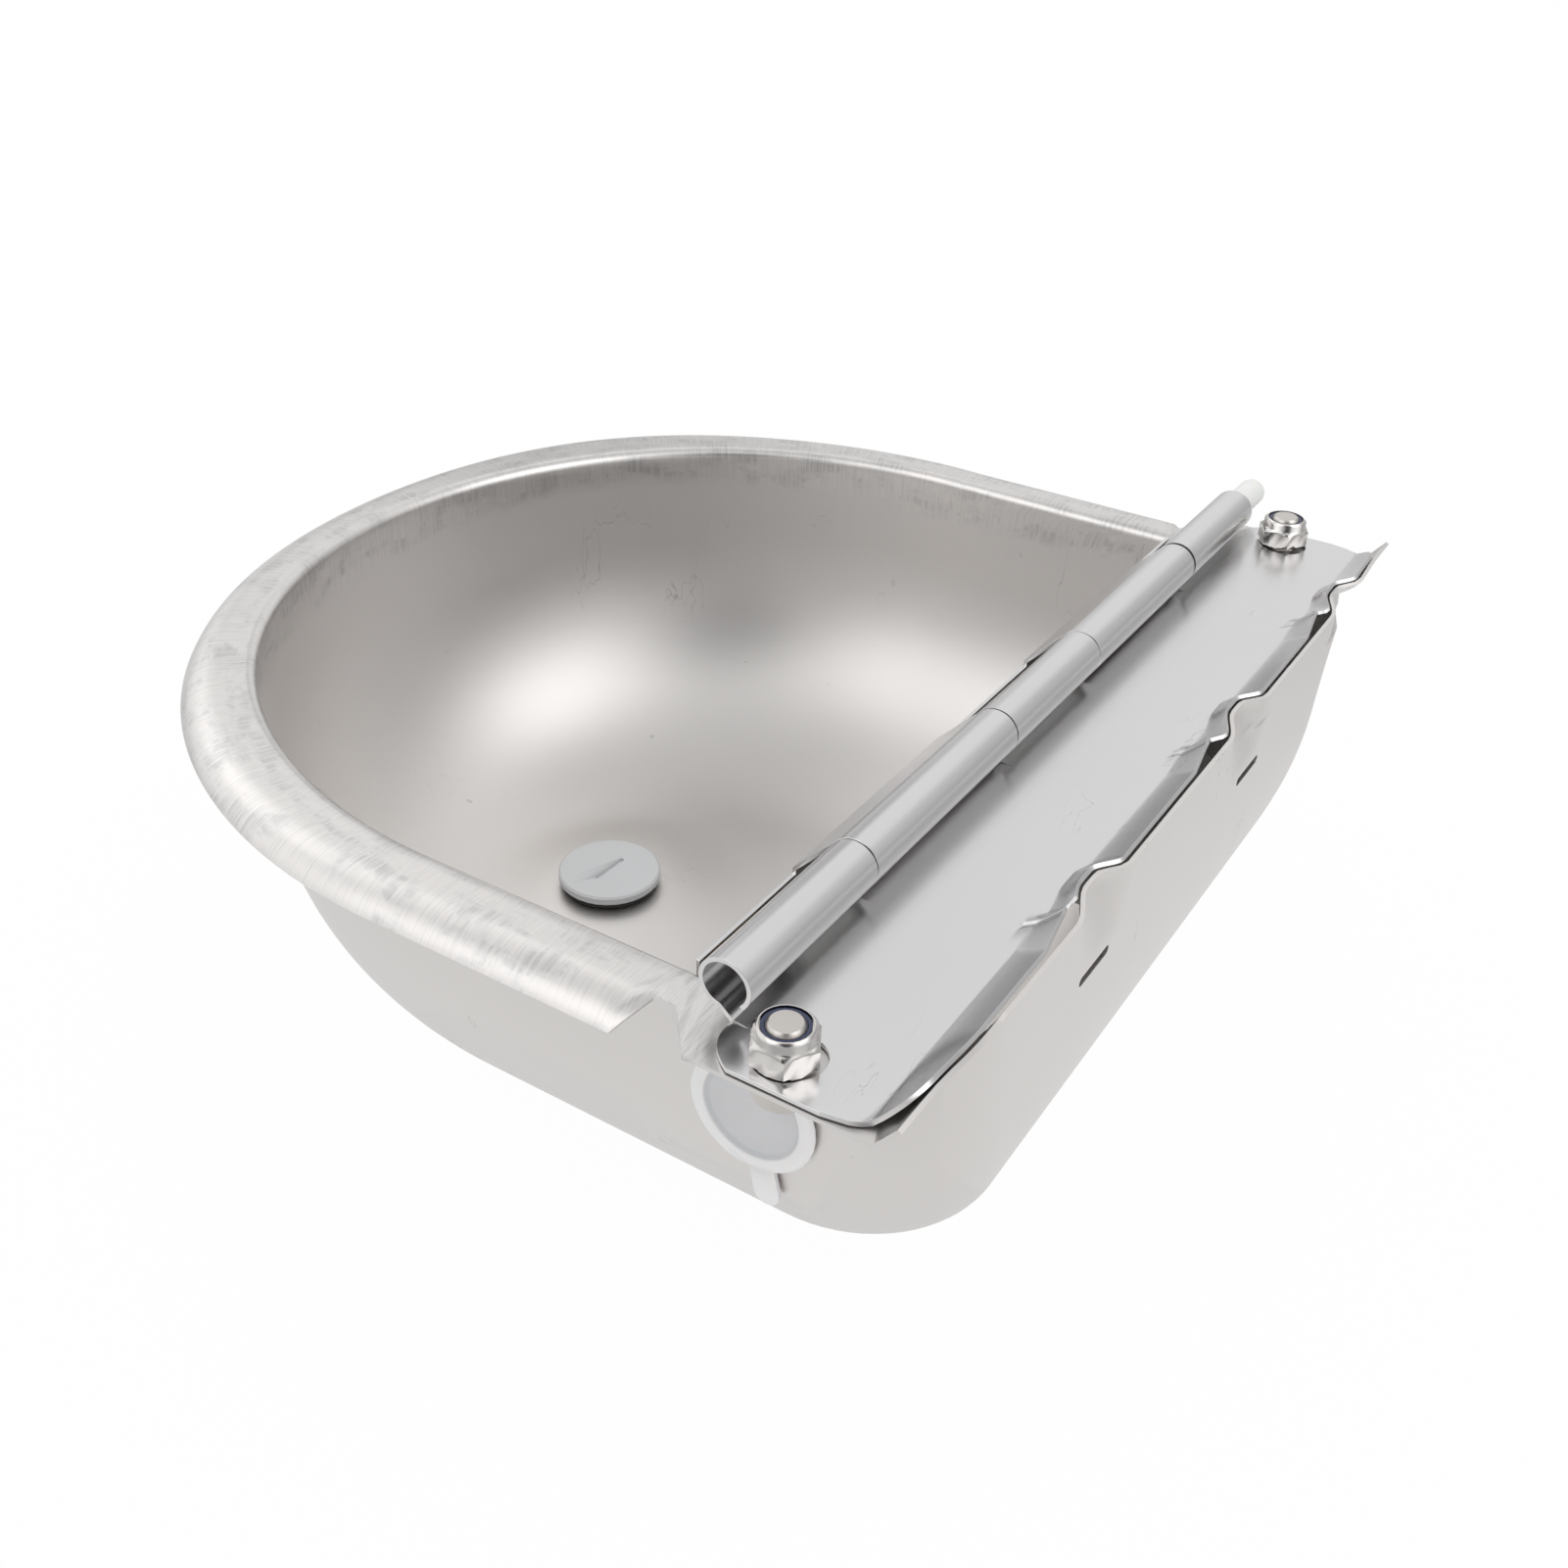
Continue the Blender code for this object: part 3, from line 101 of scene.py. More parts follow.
class Bench:
    def __init__(self, tree):
        self.tree = tree

    def node(self, kind, settings=None, sockets=None, outlet=0):
        made = self.tree.nodes.new(kind)
        for key, value in (settings or {}).items():
            setattr(made, key, value)
        for key, value in (sockets or {}).items():
            if isinstance(value, Wire):
                self.tree.links.new(value.socket, made.inputs[key])
            else:
                made.inputs[key].default_value = value
        return Wire(self, made.outputs[outlet]) if made.outputs else made

    def coords(self, outlet="Object"):
        return self.node("ShaderNodeTexCoord", outlet=outlet)

    def parts(self, vector):
        split = self.node("ShaderNodeSeparateXYZ", {}, {0: vector}).socket.node
        return [Wire(self, socket) for socket in split.outputs]

    def vector(self, x, y, z):
        return self.node("ShaderNodeCombineXYZ", {}, {0: x, 1: y, 2: z})

    def stretched(self, vector, scale):
        return self.node("ShaderNodeMapping", {}, {0: vector, "Scale": scale})

    def noise(self, vector, scale, detail=2.0, rough=0.5):
        sockets = {"Vector": vector, "Scale": scale, "Detail": detail, "Roughness": rough}
        return self.node("ShaderNodeTexNoise", {}, sockets)

    def mix(self, factor, first, second):
        sockets = {0: factor, 6: first, 7: second}
        return self.node("ShaderNodeMix", {"data_type": "RGBA"}, sockets, outlet=2)

    def bump(self, height, strength, distance):
        sockets = {"Height": height, "Strength": strength, "Distance": distance}
        return self.node("ShaderNodeBump", {}, sockets)


def finish(name, fixed, build):
    # a Principled material: fixed values on its own sockets, build() returns what varies
    made = bpy.data.materials.new(name)
    made.use_nodes = True
    shader = made.node_tree.nodes["Principled BSDF"]
    for key, value in fixed.items():
        shader.inputs[key].default_value = value
    bench = Bench(made.node_tree)
    for key, wire in build(bench).items():
        made.node_tree.links.new(wire.socket, shader.inputs[key])
    return made


def rgb(red, green, blue):
    return (red, green, blue, 1.0)


# finishes

bowlLook = {
    "steel": rgb(0.76, 0.738, 0.72),
    "worn": rgb(0.65, 0.633, 0.62),
    "bright": rgb(0.83, 0.81, 0.795),
    "mark": rgb(0.34, 0.33, 0.32),
    "rubbed": rgb(0.47, 0.47, 0.47),
    "rough": 0.43,
    "rimEnd": 0.036,  # metres of section from the rim's edge
    # how often a pattern repeats in a metre: round the rim and across it
    "fineBrush": (3000, 60),
    "coarseBrush": (1000, 50),
    "patches": (60, 150),
    # the same along X, Y and Z of the frame
    "grain": (1300, 1300, 500),
    "scratches": (42, 30, 11),
    "cloud": 9.0,
    "scratchSpots": 15.0,
    "specks": 210.0,
    # pattern values between which a mark fades in
    "patchEdge": (0.46, 0.62),
    "scratchEdge": (0.56, 0.64),
    "scratchWidth": (0.0006, 0.0042),
    "speckEdge": (0.80, 0.84),
    # how much each one shows
    "brightStreaks": 1.8,
    "darkStreaks": 2.0,
    "rubbedShare": 0.60,
    "markShare": 0.35,
    "rimPolish": 0.09,
    "relief": 0.34,
}


def bowlSurface(b):
    look = bowlLook
    around, across = b.parts(b.coords("UV"))[:2]
    place = b.coords()
    onRim = 1 - across.between(look["rimEnd"] * 0.8, look["rimEnd"])

    def wrapped(key, layer, detail):  # a pattern that follows the rim
        alongRim, acrossRim = look[key]
        return b.noise(b.vector(around * alongRim, across * acrossRim, layer), 1.0, detail, 0.6)

    fine = wrapped("fineBrush", 0, 2.0)
    coarse = wrapped("coarseBrush", 3, 3.0)
    rubbed = wrapped("patches", 7, 3.0).between(*look["patchEdge"])
    soft = b.noise(place, look["cloud"], 3.0, 0.5)
    grain = b.noise(b.stretched(place, look["grain"]), 1.0, 2.0, 0.7)
    lines = b.noise(b.stretched(place, look["scratches"]), 1.0, 4.0, 0.62)
    spots = b.noise(place, look["scratchSpots"], 2.0).between(*look["scratchEdge"])
    hairs = (1 - abs(lines - 0.5).between(*look["scratchWidth"])) * spots
    specks = b.noise(place, look["specks"], 1.0, 0.4).between(*look["speckEdge"])
    streaks = fine * 0.65 + coarse * 0.35
    tone = b.mix(0.5, look["steel"], b.mix(soft, look["worn"], look["bright"]))
    lighter = (onRim * (streaks - 0.45) * look["brightStreaks"]).atLeast(0)
    tone = b.mix(lighter, tone, look["bright"])
    darker = (onRim * (0.52 - streaks) * look["darkStreaks"]).atLeast(0)
    tone = b.mix(darker, tone, look["rubbed"])
    patched = onRim * rubbed * coarse.between(0.40, 0.6) * look["rubbedShare"]
    tone = b.mix(patched, tone, look["rubbed"])
    tone = b.mix(hairs * (1 - onRim) * look["markShare"], tone, look["mark"])
    tone = b.mix(specks * look["markShare"], tone, look["mark"])
    rough = look["rough"] + (soft - 0.5) * 0.12 + (streaks - 0.5) * 0.30 * onRim
    rough = rough - look["rimPolish"] * onRim
    height = streaks * onRim + grain * (1 - onRim) * 0.4 - hairs * 0.5
    return {"Base Color": tone, "Roughness": rough, "Normal": b.bump(height, look["relief"], 0.1 * mm)}


coverLook = {
    "steel": rgb(0.70, 0.695, 0.70),
    "bright": rgb(0.74, 0.735, 0.74),
    "scratch": rgb(0.42, 0.42, 0.42),
    "rough": 0.24,
    # how often each pattern repeats in a metre along X, Y and Z
    "rolling": (40, 1400, 1400),
    "scratches": (18, 75, 75),
    "cloud": 12.0,
    "scratchSpots": 17.0,
    "scratchEdge": (0.54, 0.64),
    "scratchWidth": (0.0006, 0.005),
    "scratchShare": 0.4,
    "relief": 0.05,
}


def coverSurface(b):
    look = coverLook
    place = b.coords()
    drawn = b.noise(b.stretched(place, look["rolling"]), 1.0, 2.0, 0.6)
    cloud = b.noise(place, look["cloud"], 3.0, 0.55)
    lines = b.noise(b.stretched(place, look["scratches"]), 1.0, 4.0, 0.6)
    spots = b.noise(place, look["scratchSpots"], 2.0).between(*look["scratchEdge"])
    hairs = (1 - abs(lines - 0.5).between(*look["scratchWidth"])) * spots
    tone = b.mix(cloud, look["steel"], look["bright"])
    tone = b.mix(hairs * look["scratchShare"], tone, look["scratch"])
    rough = look["rough"] + (cloud - 0.5) * 0.05 + (drawn - 0.5) * 0.06
    normal = b.bump(drawn - hairs * 0.5, look["relief"], 0.1 * mm)
    return {"Base Color": tone, "Roughness": rough, "Normal": normal}


# small parts: clouds and grain in a metre, and how dark the clouds get
metal = {"Metallic": 1.0}
metalGrain = {"cloud": 60.0, "drawn": (500, 1500, 1500), "shade": 0.82, "relief": 0.12}
plasticGrain = {"cloud": 45.0, "marks": 0.10, "shade": 0.90, "relief": 0.18}


def plainMetal(name, tone, rough, marks=0.08):
    def surface(b):
        look = metalGrain
        place = b.coords()
        cloud = b.noise(place, look["cloud"], 3.0, 0.6)
        grain = b.noise(b.stretched(place, look["drawn"]), 1.0, 2.0, 0.6)
        dark = rgb(*(channel * look["shade"] for channel in tone))
        return {
            "Base Color": b.mix(cloud, dark, rgb(*tone)),
            "Roughness": rough + (cloud - 0.5) * marks + (grain - 0.5) * marks * 0.5,
            "Normal": b.bump(grain, look["relief"], 0.08 * mm),
        }
    return finish(name, metal, surface)


def plainPlastic(name, tone, rough, grainSize=900.0, fixed=None):
    def surface(b):
        look = plasticGrain
        place = b.coords()
        cloud = b.noise(place, look["cloud"], 3.0, 0.6)
        grain = b.noise(place, grainSize, 2.0, 0.6)
        dark = rgb(*(channel * look["shade"] for channel in tone))
        return {
            "Base Color": b.mix(cloud, dark, rgb(*tone)),
            "Roughness": rough + (cloud - 0.5) * look["marks"],
            "Normal": b.bump(grain, look["relief"], 0.12 * mm),
        }
    return finish(name, fixed or {}, surface)


capLook = {
    "centre": (0.09675, 0.074),
    "flange": rgb(0.78, 0.78, 0.78),
    "disc": rgb(0.56, 0.56, 0.575),
    # the groove colour and its share are painted shade in the ring groove just outside the disc
    "groove": rgb(0.44, 0.45, 0.47),
    "milky": rgb(0.86, 0.86, 0.86),
    "cloud": 120.0,
    "grain": 900.0,
    "grooveShadeShare": 0.8,
    "milkyShare": 0.25,
    "discRadius": 10.6 * mm,
    "blend": 0.5 * mm,
    "grooveOut": 0.6 * mm,
    "grooveEdge": (0.2 * mm, 0.7 * mm),
}


def capSurface(b):
    look = capLook
    place = b.coords()
    parts = b.parts(place)
    y, z = (parts[axis + 1] - look["centre"][axis] for axis in (0, 1))
    away = b.node("ShaderNodeMath", {"operation": "SQRT"}, {0: y * y + z * z})
    cloud = b.noise(place, look["cloud"], 3.0, 0.6)
    inner = 1 - away.between(look["discRadius"], look["discRadius"] + look["blend"])
    groove = 1 - abs(away - look["discRadius"] - look["grooveOut"]).between(*look["grooveEdge"])
    tone = b.mix(inner, look["flange"], look["disc"])
    # painted shade: the ring groove is darkened where shade would fall into it
    tone = b.mix(groove * look["grooveShadeShare"], tone, look["groove"])
    tone = b.mix(cloud * look["milkyShare"], tone, look["milky"])
    grain = b.noise(place, look["grain"], 2.0, 0.6)
    return {"Base Color": tone, "Normal": b.bump(grain - groove * 2, 0.2, 0.15 * mm)}


softPlastic = {"Subsurface Weight": 0.15, "Subsurface Scale": 0.0015}
bowlSteel = finish("bowlSteel", metal, bowlSurface)
coverSteel = finish("coverSteel", metal, coverSurface)
nutSteel = plainMetal("nutSteel", (0.74, 0.72, 0.70), 0.13, 0.10)
studSteel = plainMetal("studSteel", (0.66, 0.63, 0.60), 0.30, 0.14)
lockSteel = plainMetal("lockSteel", (0.57, 0.56, 0.54), 0.34)
valveBrass = plainMetal("valveBrass", (0.70, 0.50, 0.22), 0.28)
pinPlastic = plainPlastic("pinPlastic", (0.80, 0.81, 0.79), 0.42, fixed=softPlastic)
insertNylon = plainPlastic("insertNylon", (0.03, 0.04, 0.09), 0.38)
gasketRubber = plainPlastic("gasketRubber", (0.035, 0.035, 0.035), 0.68)
floatPlastic = plainPlastic("floatPlastic", (0.78, 0.78, 0.74), 0.50)
plungerPlastic = plainPlastic("plungerPlastic", (0.80, 0.80, 0.76), 0.45)
plugPlastic = plainPlastic("plugPlastic", (0.68, 0.69, 0.70), 0.55, 700.0)
capPlastic = finish("capPlastic", {**softPlastic, "Roughness": 0.36}, capSurface)
print("finishes ready")

# each CAD node's finish and slot, and the name of its smooth copy if it has one
slots = {
    "bowl_shell": (bowlSteel, "bowl_steel", None),
    "cover_plate": (coverSteel, "cover_steel", None),
    "partition_flap": (coverSteel, "flap_steel", None),
    "flap_knuckle_near": (coverSteel, "flap_steel", None),
    "flap_knuckle_far": (coverSteel, "flap_steel", None),
    "hinge_pin": (pinPlastic, "pin_plastic", None),
    "cover_stud_near": (studSteel, "stud_steel", "studNear"),
    "cover_stud_far": (studSteel, "stud_steel", "studFar"),
    "cover_nut_near": (nutSteel, "nut_steel", "nutNear"),
    "cover_nut_far": (nutSteel, "nut_steel", "nutFar"),
    "nut_insert_near": (insertNylon, "insert_nylon", "insertNear"),
    "nut_insert_far": (insertNylon, "insert_nylon", "insertFar"),
    "drain_plug": (plugPlastic, "plug_plastic", "drainPlug"),
    "drain_gasket": (gasketRubber, "gasket_rubber", None),
    "drain_locknut": (lockSteel, "lock_steel", "drainNut"),
    "inlet_socket": (lockSteel, "lock_steel", "inletSocket"),
    "inlet_cap": (capPlastic, "cap_plastic", "inletCap"),
    "valve_body": (valveBrass, "valve_brass", "valveBody"),
    "valve_gasket": (gasketRubber, "gasket_rubber", "valveGasket"),
    "valve_plunger": (plungerPlastic, "plunger_plastic", "valvePlunger"),
    "plunger_seal": (gasketRubber, "gasket_rubber", "plungerSeal"),
    "lever_pin": (studSteel, "stud_steel", "leverPin"),
    "pin_clip": (studSteel, "stud_steel", "pinClip"),
    "float_lever": (lockSteel, "lever_steel", "floatLever"),
    "float_wire": (nutSteel, "lever_steel", "floatWire"),
    "float_body": (floatPlastic, "float_plastic", "floatBody"),
    "float_nut": (valveBrass, "valve_brass", "floatNut"),
}
bodies = frame["record"]["behaviour"]["bodies"]
bodyOf = {member: body for body, members in bodies.items() for member in members}


# the bowl's own shape

bowl = {
    "sheet": 1.0 * mm,
    "halfWidth": 127.4 * mm,
    "back": 44.5 * mm,
    "frontCentre": -86.0 * mm,
    "depth": 103.0 * mm,
    "straightDepth": 30.0 * mm,
    "bottomHalfWidth": 51.4 * mm,
    "bottomFrontReach": 67.4 * mm,
    "backSweep": 62.0 * mm,
    "corner": 20.0 * mm,
    "nearBottom": 39.0 * mm,
    "farBottom": 51.0 * mm,
    "rimWidth": 22.6 * mm,
    "roll": 11.0 * mm,
    "rollTurn": 60.0,
    # by angle round the front: how far the wall stands out, and the rim's width
    "frontShifts": (
        (180, 0), (200, 1.6), (222, 3.8), (250, 4.6), (285, 4.2), (310, 2.2), (335, 0.2), (360, 0),
    ),
    "rimWidths": (
        (180, 17.5), (205, 19.5), (235, 22.2), (270, 18.0), (300, 18.6), (335, 20.2), (360, 20.6),
    ),
    "fillet": 3.0 * mm,
    "ledge": -1.3 * mm,
    "earFront": -1.3 * mm,
    "notchBack": -10.5 * mm,
    "notchFront": -14.6 * mm,
    "rimEnd": -20.4 * mm,
    "notchWidth": 10.6 * mm,
    "lipHeight": 2.2 * mm,
    "lipStart": 38.5 * mm,
    "tipHeight": 5.0 * mm,
    "tipLength": 24.0 * mm,
    "tipMargin": 10.0 * mm,
    "bulgePlaces": (0.4592, -0.2473, -0.8870),
    "bulgeFoot": 21.0 * mm,
    "bulgeTop": 5.0 * mm,
    "bulgeLean": 0.6,  # how much longer its near flank is
    "bulgeDepth": 4.3 * mm,
    "bulgeFade": 14.0 * mm,
    "rampStart": 37.0 * mm,
    "slotPlaces": (0.4906, -0.2708),
    "slotSize": (15.5 * mm, 2.4 * mm),
    "slotDrop": 16.5 * mm,
    "drain": (7.0 * mm, -131.0 * mm),
    "drainHole": 10.1 * mm,
    "drainSeat": 16.2 * mm,
    "drainBlend": 44.0 * mm,
    "dishHeight": 2.4 * mm,
    "inlet": (1.5 * mm, -30.0 * mm, 12.2 * mm),
    "inletFlat": 16.5 * mm,
    "stud": (141.0 * mm, 15.7 * mm),
    "studHole": 4.3 * mm,
    "columns": {"back": 90, "corner": 18, "side": 44, "front": 120},
    "rings": {"flat": 4, "roll": 14, "fillet": 5, "upper": 14, "drawn": 30, "floor": 18},
    "floorLead": -0.2,  # rings of the floor crowd towards the drain
    "flatLength": 10.0 * mm,
    "sideStepGap": 0.9 * mm,
    "cornerGrowth": (1.6, 0.5),  # how late the near and far corners widen with depth
    "filletFade": (0.3, 0.8),  # at the back corners the fillet ends between these
    "wrapFade": (-14.0 * mm, 10.0 * mm),  # the rim's brushing ends between these
    "cutReach": (4.0 * mm, 5.0 * mm),  # the cutting tools inside and outside the wall
    "studCut": (-4.4 * mm, 0.8 * mm),
    "edge": 0.12 * mm,
}


def ease(value, start, end):
    t = min(max((value - start) / (end - start), 0), 1)
    return t * t * (3 - 2 * t)


def ramp(value, start, end):
    return min(max((value - start) / (end - start), 0), 1)


def spread(fixed, even, gap):
    # places of columns: an even one is left out where it would crowd a fixed one
    kept = [mark for mark in even if min(abs(mark - other) for other in fixed) > gap]
    return sorted(fixed + kept, reverse=True)


def drawIn(level):
    # 0 where the wall is straight, 1 where it meets the floor
    sine = ramp(-level, bowl["straightDepth"], bowl["depth"])
    return 1 - math.sqrt(max(1 - sine * sine, 0))


def bulge(x):
    share = 0
    for place in bowl["bulgePlaces"]:
        away = x - place * bowl["halfWidth"]
        foot = bowl["bulgeFoot"] / 2 * (1 + bowl["bulgeLean"] if away > 0 else 1)
        share = max(share, 1 - ease(abs(away), bowl["bulgeTop"] / 2, foot))
    return share


def through(points, value):
    # smooth curve through a table of places and sizes in millimetres
    last = len(points) - 2
    k = next((i for i in range(last + 1) if value <= points[i + 1][0]), last)
    (a, low), (b, high) = points[k], points[k + 1]
    before, after = points[max(k - 1, 0)], points[min(k + 2, last + 1)]
    slopeLow = (high - before[1]) / (b - before[0]) * (b - a)
    slopeHigh = (after[1] - low) / (after[0] - a) * (b - a)
    t = min(max((value - a) / (b - a), 0), 1)
    u = 1 - t
    ends = low * u * u * (1 + 2 * t) + high * t * t * (3 - 2 * t)
    return (ends + slopeLow * t * u * u - slopeHigh * t * t * u) * mm


def lipTop(x):
    end = bowl["halfWidth"] + bowl["rimWidth"] - bowl["tipMargin"]
    rise = ease(abs(x), end - bowl["tipLength"], end)
    return bowl["lipHeight"] + (bowl["tipHeight"] - bowl["lipHeight"]) * rise


def lipLevel(x, y):
    t = ramp(y, bowl["lipStart"], bowl["back"])
    return bowl["ledge"] + (lipTop(x) - bowl["ledge"]) * t * t


def bowlOutline(sideIn, frontIn, backIn, near, far):
    # one level of the body: x, y and the outward direction at each column;
    # near and far are the radii of the two back corners
    half, back = bowl["halfWidth"] - sideIn, bowl["back"] - backIn
    front, centre = bowl["halfWidth"] - frontIn, bowl["frontCentre"]
    count = bowl["columns"]
    points = []
    for i in range(count["back"] + 1):
        points.append((half - near - (2 * half - near - far) * i / count["back"], back, 0, 1))
    for i in range(1, count["corner"] + 1):
        a = math.pi / 2 * (1 + i / count["corner"])
        c, s = math.cos(a), math.sin(a)
        points.append((-(half - far) + far * c, back - far + far * s, c, s))
    marks = sideMarks()
    for t in marks:
        points.append((-half, centre + t * (back - far - centre), -1, 0))
    fade = 1 - sideIn / (bowl["halfWidth"] - bowl["bottomHalfWidth"])
    for i in range(1, count["front"]):
        a = math.pi * (1 + i / count["front"])
        c, s = math.cos(a), math.sin(a)
        shift = fade * through(bowl["frontShifts"], math.degrees(a))
        points.append(((half + shift) * c, centre + (front + shift) * s, c, s))
    for t in reversed(marks):
        points.append((half, centre + t * (back - near - centre), 1, 0))
    for i in range(count["corner"]):
        a = math.pi / 2 * i / count["corner"]
        c, s = math.cos(a), math.sin(a)
        points.append((half - near + near * c, back - near + near * s, c, s))
    return points


def sideMarks():
    # shares of the side's length, with columns at the notch's own corners
    start, centre = bowl["back"] - bowl["corner"], bowl["frontCentre"]
    fixed = [bowl[key] for key in ("earFront", "notchBack", "notchFront", "rimEnd")] + [centre]
    count = bowl["columns"]["side"]
    even = [start + (centre - start) * i / count for i in range(1, count + 1)]
    marks = spread(fixed, even, bowl["sideStepGap"])
    return [(y - centre) / (start - centre) for y in marks]


def filletPoints(x, y, outX, outY, top, radius):
    points = []
    steps = bowl["rings"]["fillet"]
    for i in range(steps + 1):
        a = math.pi / 2 * i / steps
        reach, level = radius * (1 - math.cos(a)), top - radius + radius * math.sin(a)
        points.append((x + outX * reach, y + outY * reach, level))
    return points


def rimPath(x, y, outX, outY):
    # one column from the wall's top, over the fillet, to the sheet's edge
    ledge, fillet, roll = bowl["ledge"], bowl["fillet"], bowl["roll"]
    start, steps = ledge - fillet, bowl["rings"]["roll"]
    if outX == 0:
        return [(x, y, start), (x, y, lipTop(x))]
    if outY > 0:
        toSide = (bowl["halfWidth"] + bowl["rimWidth"] - abs(x)) / abs(outX)
        reach = min(toSide, (bowl["back"] - y) / outY)
        base, small = lipLevel(x, y), fillet * (1 - ease(outY, *bowl["filletFade"]))
        path = [(x, y, start)]
        path += filletPoints(x, y, outX, outY, base, small) if small > 0 else [(x, y, base)]
        for i in range(1, steps + 1):
            far = small + (reach - small) * i / steps
            path.append((x + outX * far, y + outY * far, lipLevel(x + outX * far, y + outY * far)))
        return path
    path = filletPoints(x, y, outX, outY, ledge, fillet)
    full = bowl["rimWidth"]
    facing = math.degrees(math.atan2(outY, outX)) % 360 if outY else 270 + 90 * outX
    wide = through(bowl["rimWidths"], facing)
    if outY == 0 and y >= bowl["notchFront"]:
        narrow = bowl["notchWidth"] + bowl["sheet"]
        width = narrow + (full - narrow) * ramp(y, bowl["notchBack"], bowl["earFront"])
        path.append((x + outX * width, y, ledge))
        return path
    arc = roll * math.radians(bowl["rollTurn"])
    flat = wide - roll * math.sin(arc / roll)
    turned = arc if outY < 0 else arc * ease(y, bowl["notchFront"], bowl["rimEnd"])
    path.append((x + outX * flat, y + outY * flat, ledge))
    for i in range(1, steps + 1):
        a = turned / roll * i / steps
        reach, drop = flat + roll * math.sin(a), roll * (1 - math.cos(a))
        path.append((x + outX * reach, y + outY * reach, ledge - drop))
    return path


def along(path, distance):
    for here, there in zip(path, path[1:]):
        here, there = Vector(here), Vector(there)
        step = (there - here).length
        if step > 0 and distance <= step:
            return here.lerp(there, distance / step)
        distance -= step
    return Vector(path[-1])


def drainRise(point):
    away = (point.to_2d() - Vector(bowl["drain"])).length
    return bowl["dishHeight"] * (1 - ease(away, bowl["drainSeat"], bowl["drainBlend"]))


def bowlRings():
    # rings from the sheet's edge, over the rim and down the wall to the floor
    roll, fillet = bowl["roll"], bowl["fillet"]
    flat = bowl["flatLength"] - fillet
    flatSteps, rollSteps, filletSteps, upperSteps, drawnSteps, floorSteps = bowl["rings"].values()
    arc, bend = roll * math.radians(bowl["rollTurn"]), fillet * math.pi / 2
    shares = [(flat + arc * i / rollSteps) / (flat + arc) for i in range(rollSteps + 1)]
    shares = [flat / (flat + arc) * i / flatSteps for i in range(1, flatSteps)] + shares
    columns = []
    for x, y, outX, outY in bowlOutline(0, 0, 0, bowl["corner"], bowl["corner"]):
        path = rimPath(x, y, outX, outY)
        rest = sum((Vector(b) - Vector(a)).length for a, b in zip(path, path[1:])) - bend
        marks = [bend + rest * share for share in reversed(shares)]
        marks += [bend * i / filletSteps for i in range(filletSteps, -1, -1)]
        column = []
        for mark in marks:
            point = along(path, mark)
            if outY > 0:
                push = bowl["bulgeDepth"] * bulge(point.x) * ramp(point.z, -bowl["bulgeFade"], 0)
                point.y -= push * ease(point.y, bowl["rampStart"], bowl["back"])
            column.append(point)
        columns.append(column)
    rings = [[column[k] for column in columns] for k in range(len(columns[0]))]
    start = bowl["ledge"] - fillet
    straight = bowl["straightDepth"]
    span = bowl["depth"] - straight
    levels = [start + (-straight - start) * i / upperSteps for i in range(1, upperSteps + 1)]
    for i in range(1, drawnSteps + 1):
        levels.append(-straight - span * math.sin(math.pi / 2 * i / drawnSteps))
    nearLate, farLate = bowl["cornerGrowth"]
    for level in levels:
        turn = drawIn(level)
        sideIn = (bowl["halfWidth"] - bowl["bottomHalfWidth"]) * turn
        frontIn = (bowl["halfWidth"] - bowl["bottomFrontReach"]) * turn
        corner, deep = bowl["corner"], -level / bowl["depth"]
        near = corner + (bowl["nearBottom"] - corner) * deep ** nearLate
        far = corner + (bowl["farBottom"] - corner) * deep ** farLate
        rings.append([])
        for x, y, outX, outY in bowlOutline(sideIn, frontIn, bowl["backSweep"] * turn, near, far):
            if outX == 1:
                away = max(abs(y - bowl["inlet"][0]), abs(level - bowl["inlet"][1])) - bowl["inletFlat"]
                x += sideIn * (1 - ease(away, 0, bowl["inletFlat"]))
            push = bowl["bulgeDepth"] * bulge(x) * ramp(level, -bowl["bulgeFade"], 0)
            push = push if outX == 0 else 0
            rings[-1].append(Vector((x, y - push, level)))
    for ring in rings:
        for point in ring:
            point.z += drainRise(point)
    foot, middle = rings[-1], Vector((*bowl["drain"], -bowl["depth"]))
    aims = [(point - middle).to_2d().normalized().to_3d() for point in foot]
    for i in range(1, floorSteps + 1):
        t = ease(i / floorSteps, bowl["floorLead"], 1) if i < floorSteps else 1
        ring = [point.lerp(middle + aim * bowl["drainSeat"], t) for point, aim in zip(foot, aims)]
        for point in ring:
            point.z = drainRise(point) - bowl["depth"]
        rings.append(ring)
    rise = Vector((0, 0, bowl["dishHeight"]))
    rings.append([middle + rise + aim * bowl["drainHole"] for aim in aims])
    return rings


# making pieces


def bake(obj):
    # the evaluated mesh becomes the object's own, with no modifier left
    graph = bpy.context.evaluated_depsgraph_get()
    result = bpy.data.meshes.new_from_object(obj.evaluated_get(graph))
    obj.modifiers.clear()
    old = obj.data
    obj.data = result
    bpy.data.meshes.remove(old)


creaseAngle = math.radians(32)
edgeAngle = math.radians(50)


def addObject(name, data):
    made = bpy.data.objects.new(name, data)
    bpy.context.scene.collection.objects.link(made)
    return made


def standIn(obj, node):
    # finish and body of the CAD node that the piece is shown for
    look, slotName = slots[node][:2]
    obj.data.materials.clear()
    obj.data.materials.append(look)
    obj.data.shade_smooth()
    obj.data.set_sharp_from_angle(angle=creaseAngle)
    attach(obj, bodyOf[node])
    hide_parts(node)


def fromWork(work, name):
    # a bmesh in hinge-line coordinates becomes an object in the frame
    work.transform(Matrix.Translation(home))
    mesh = bpy.data.meshes.new(name)
    work.to_mesh(mesh)
    work.free()
    return addObject(name, mesh)


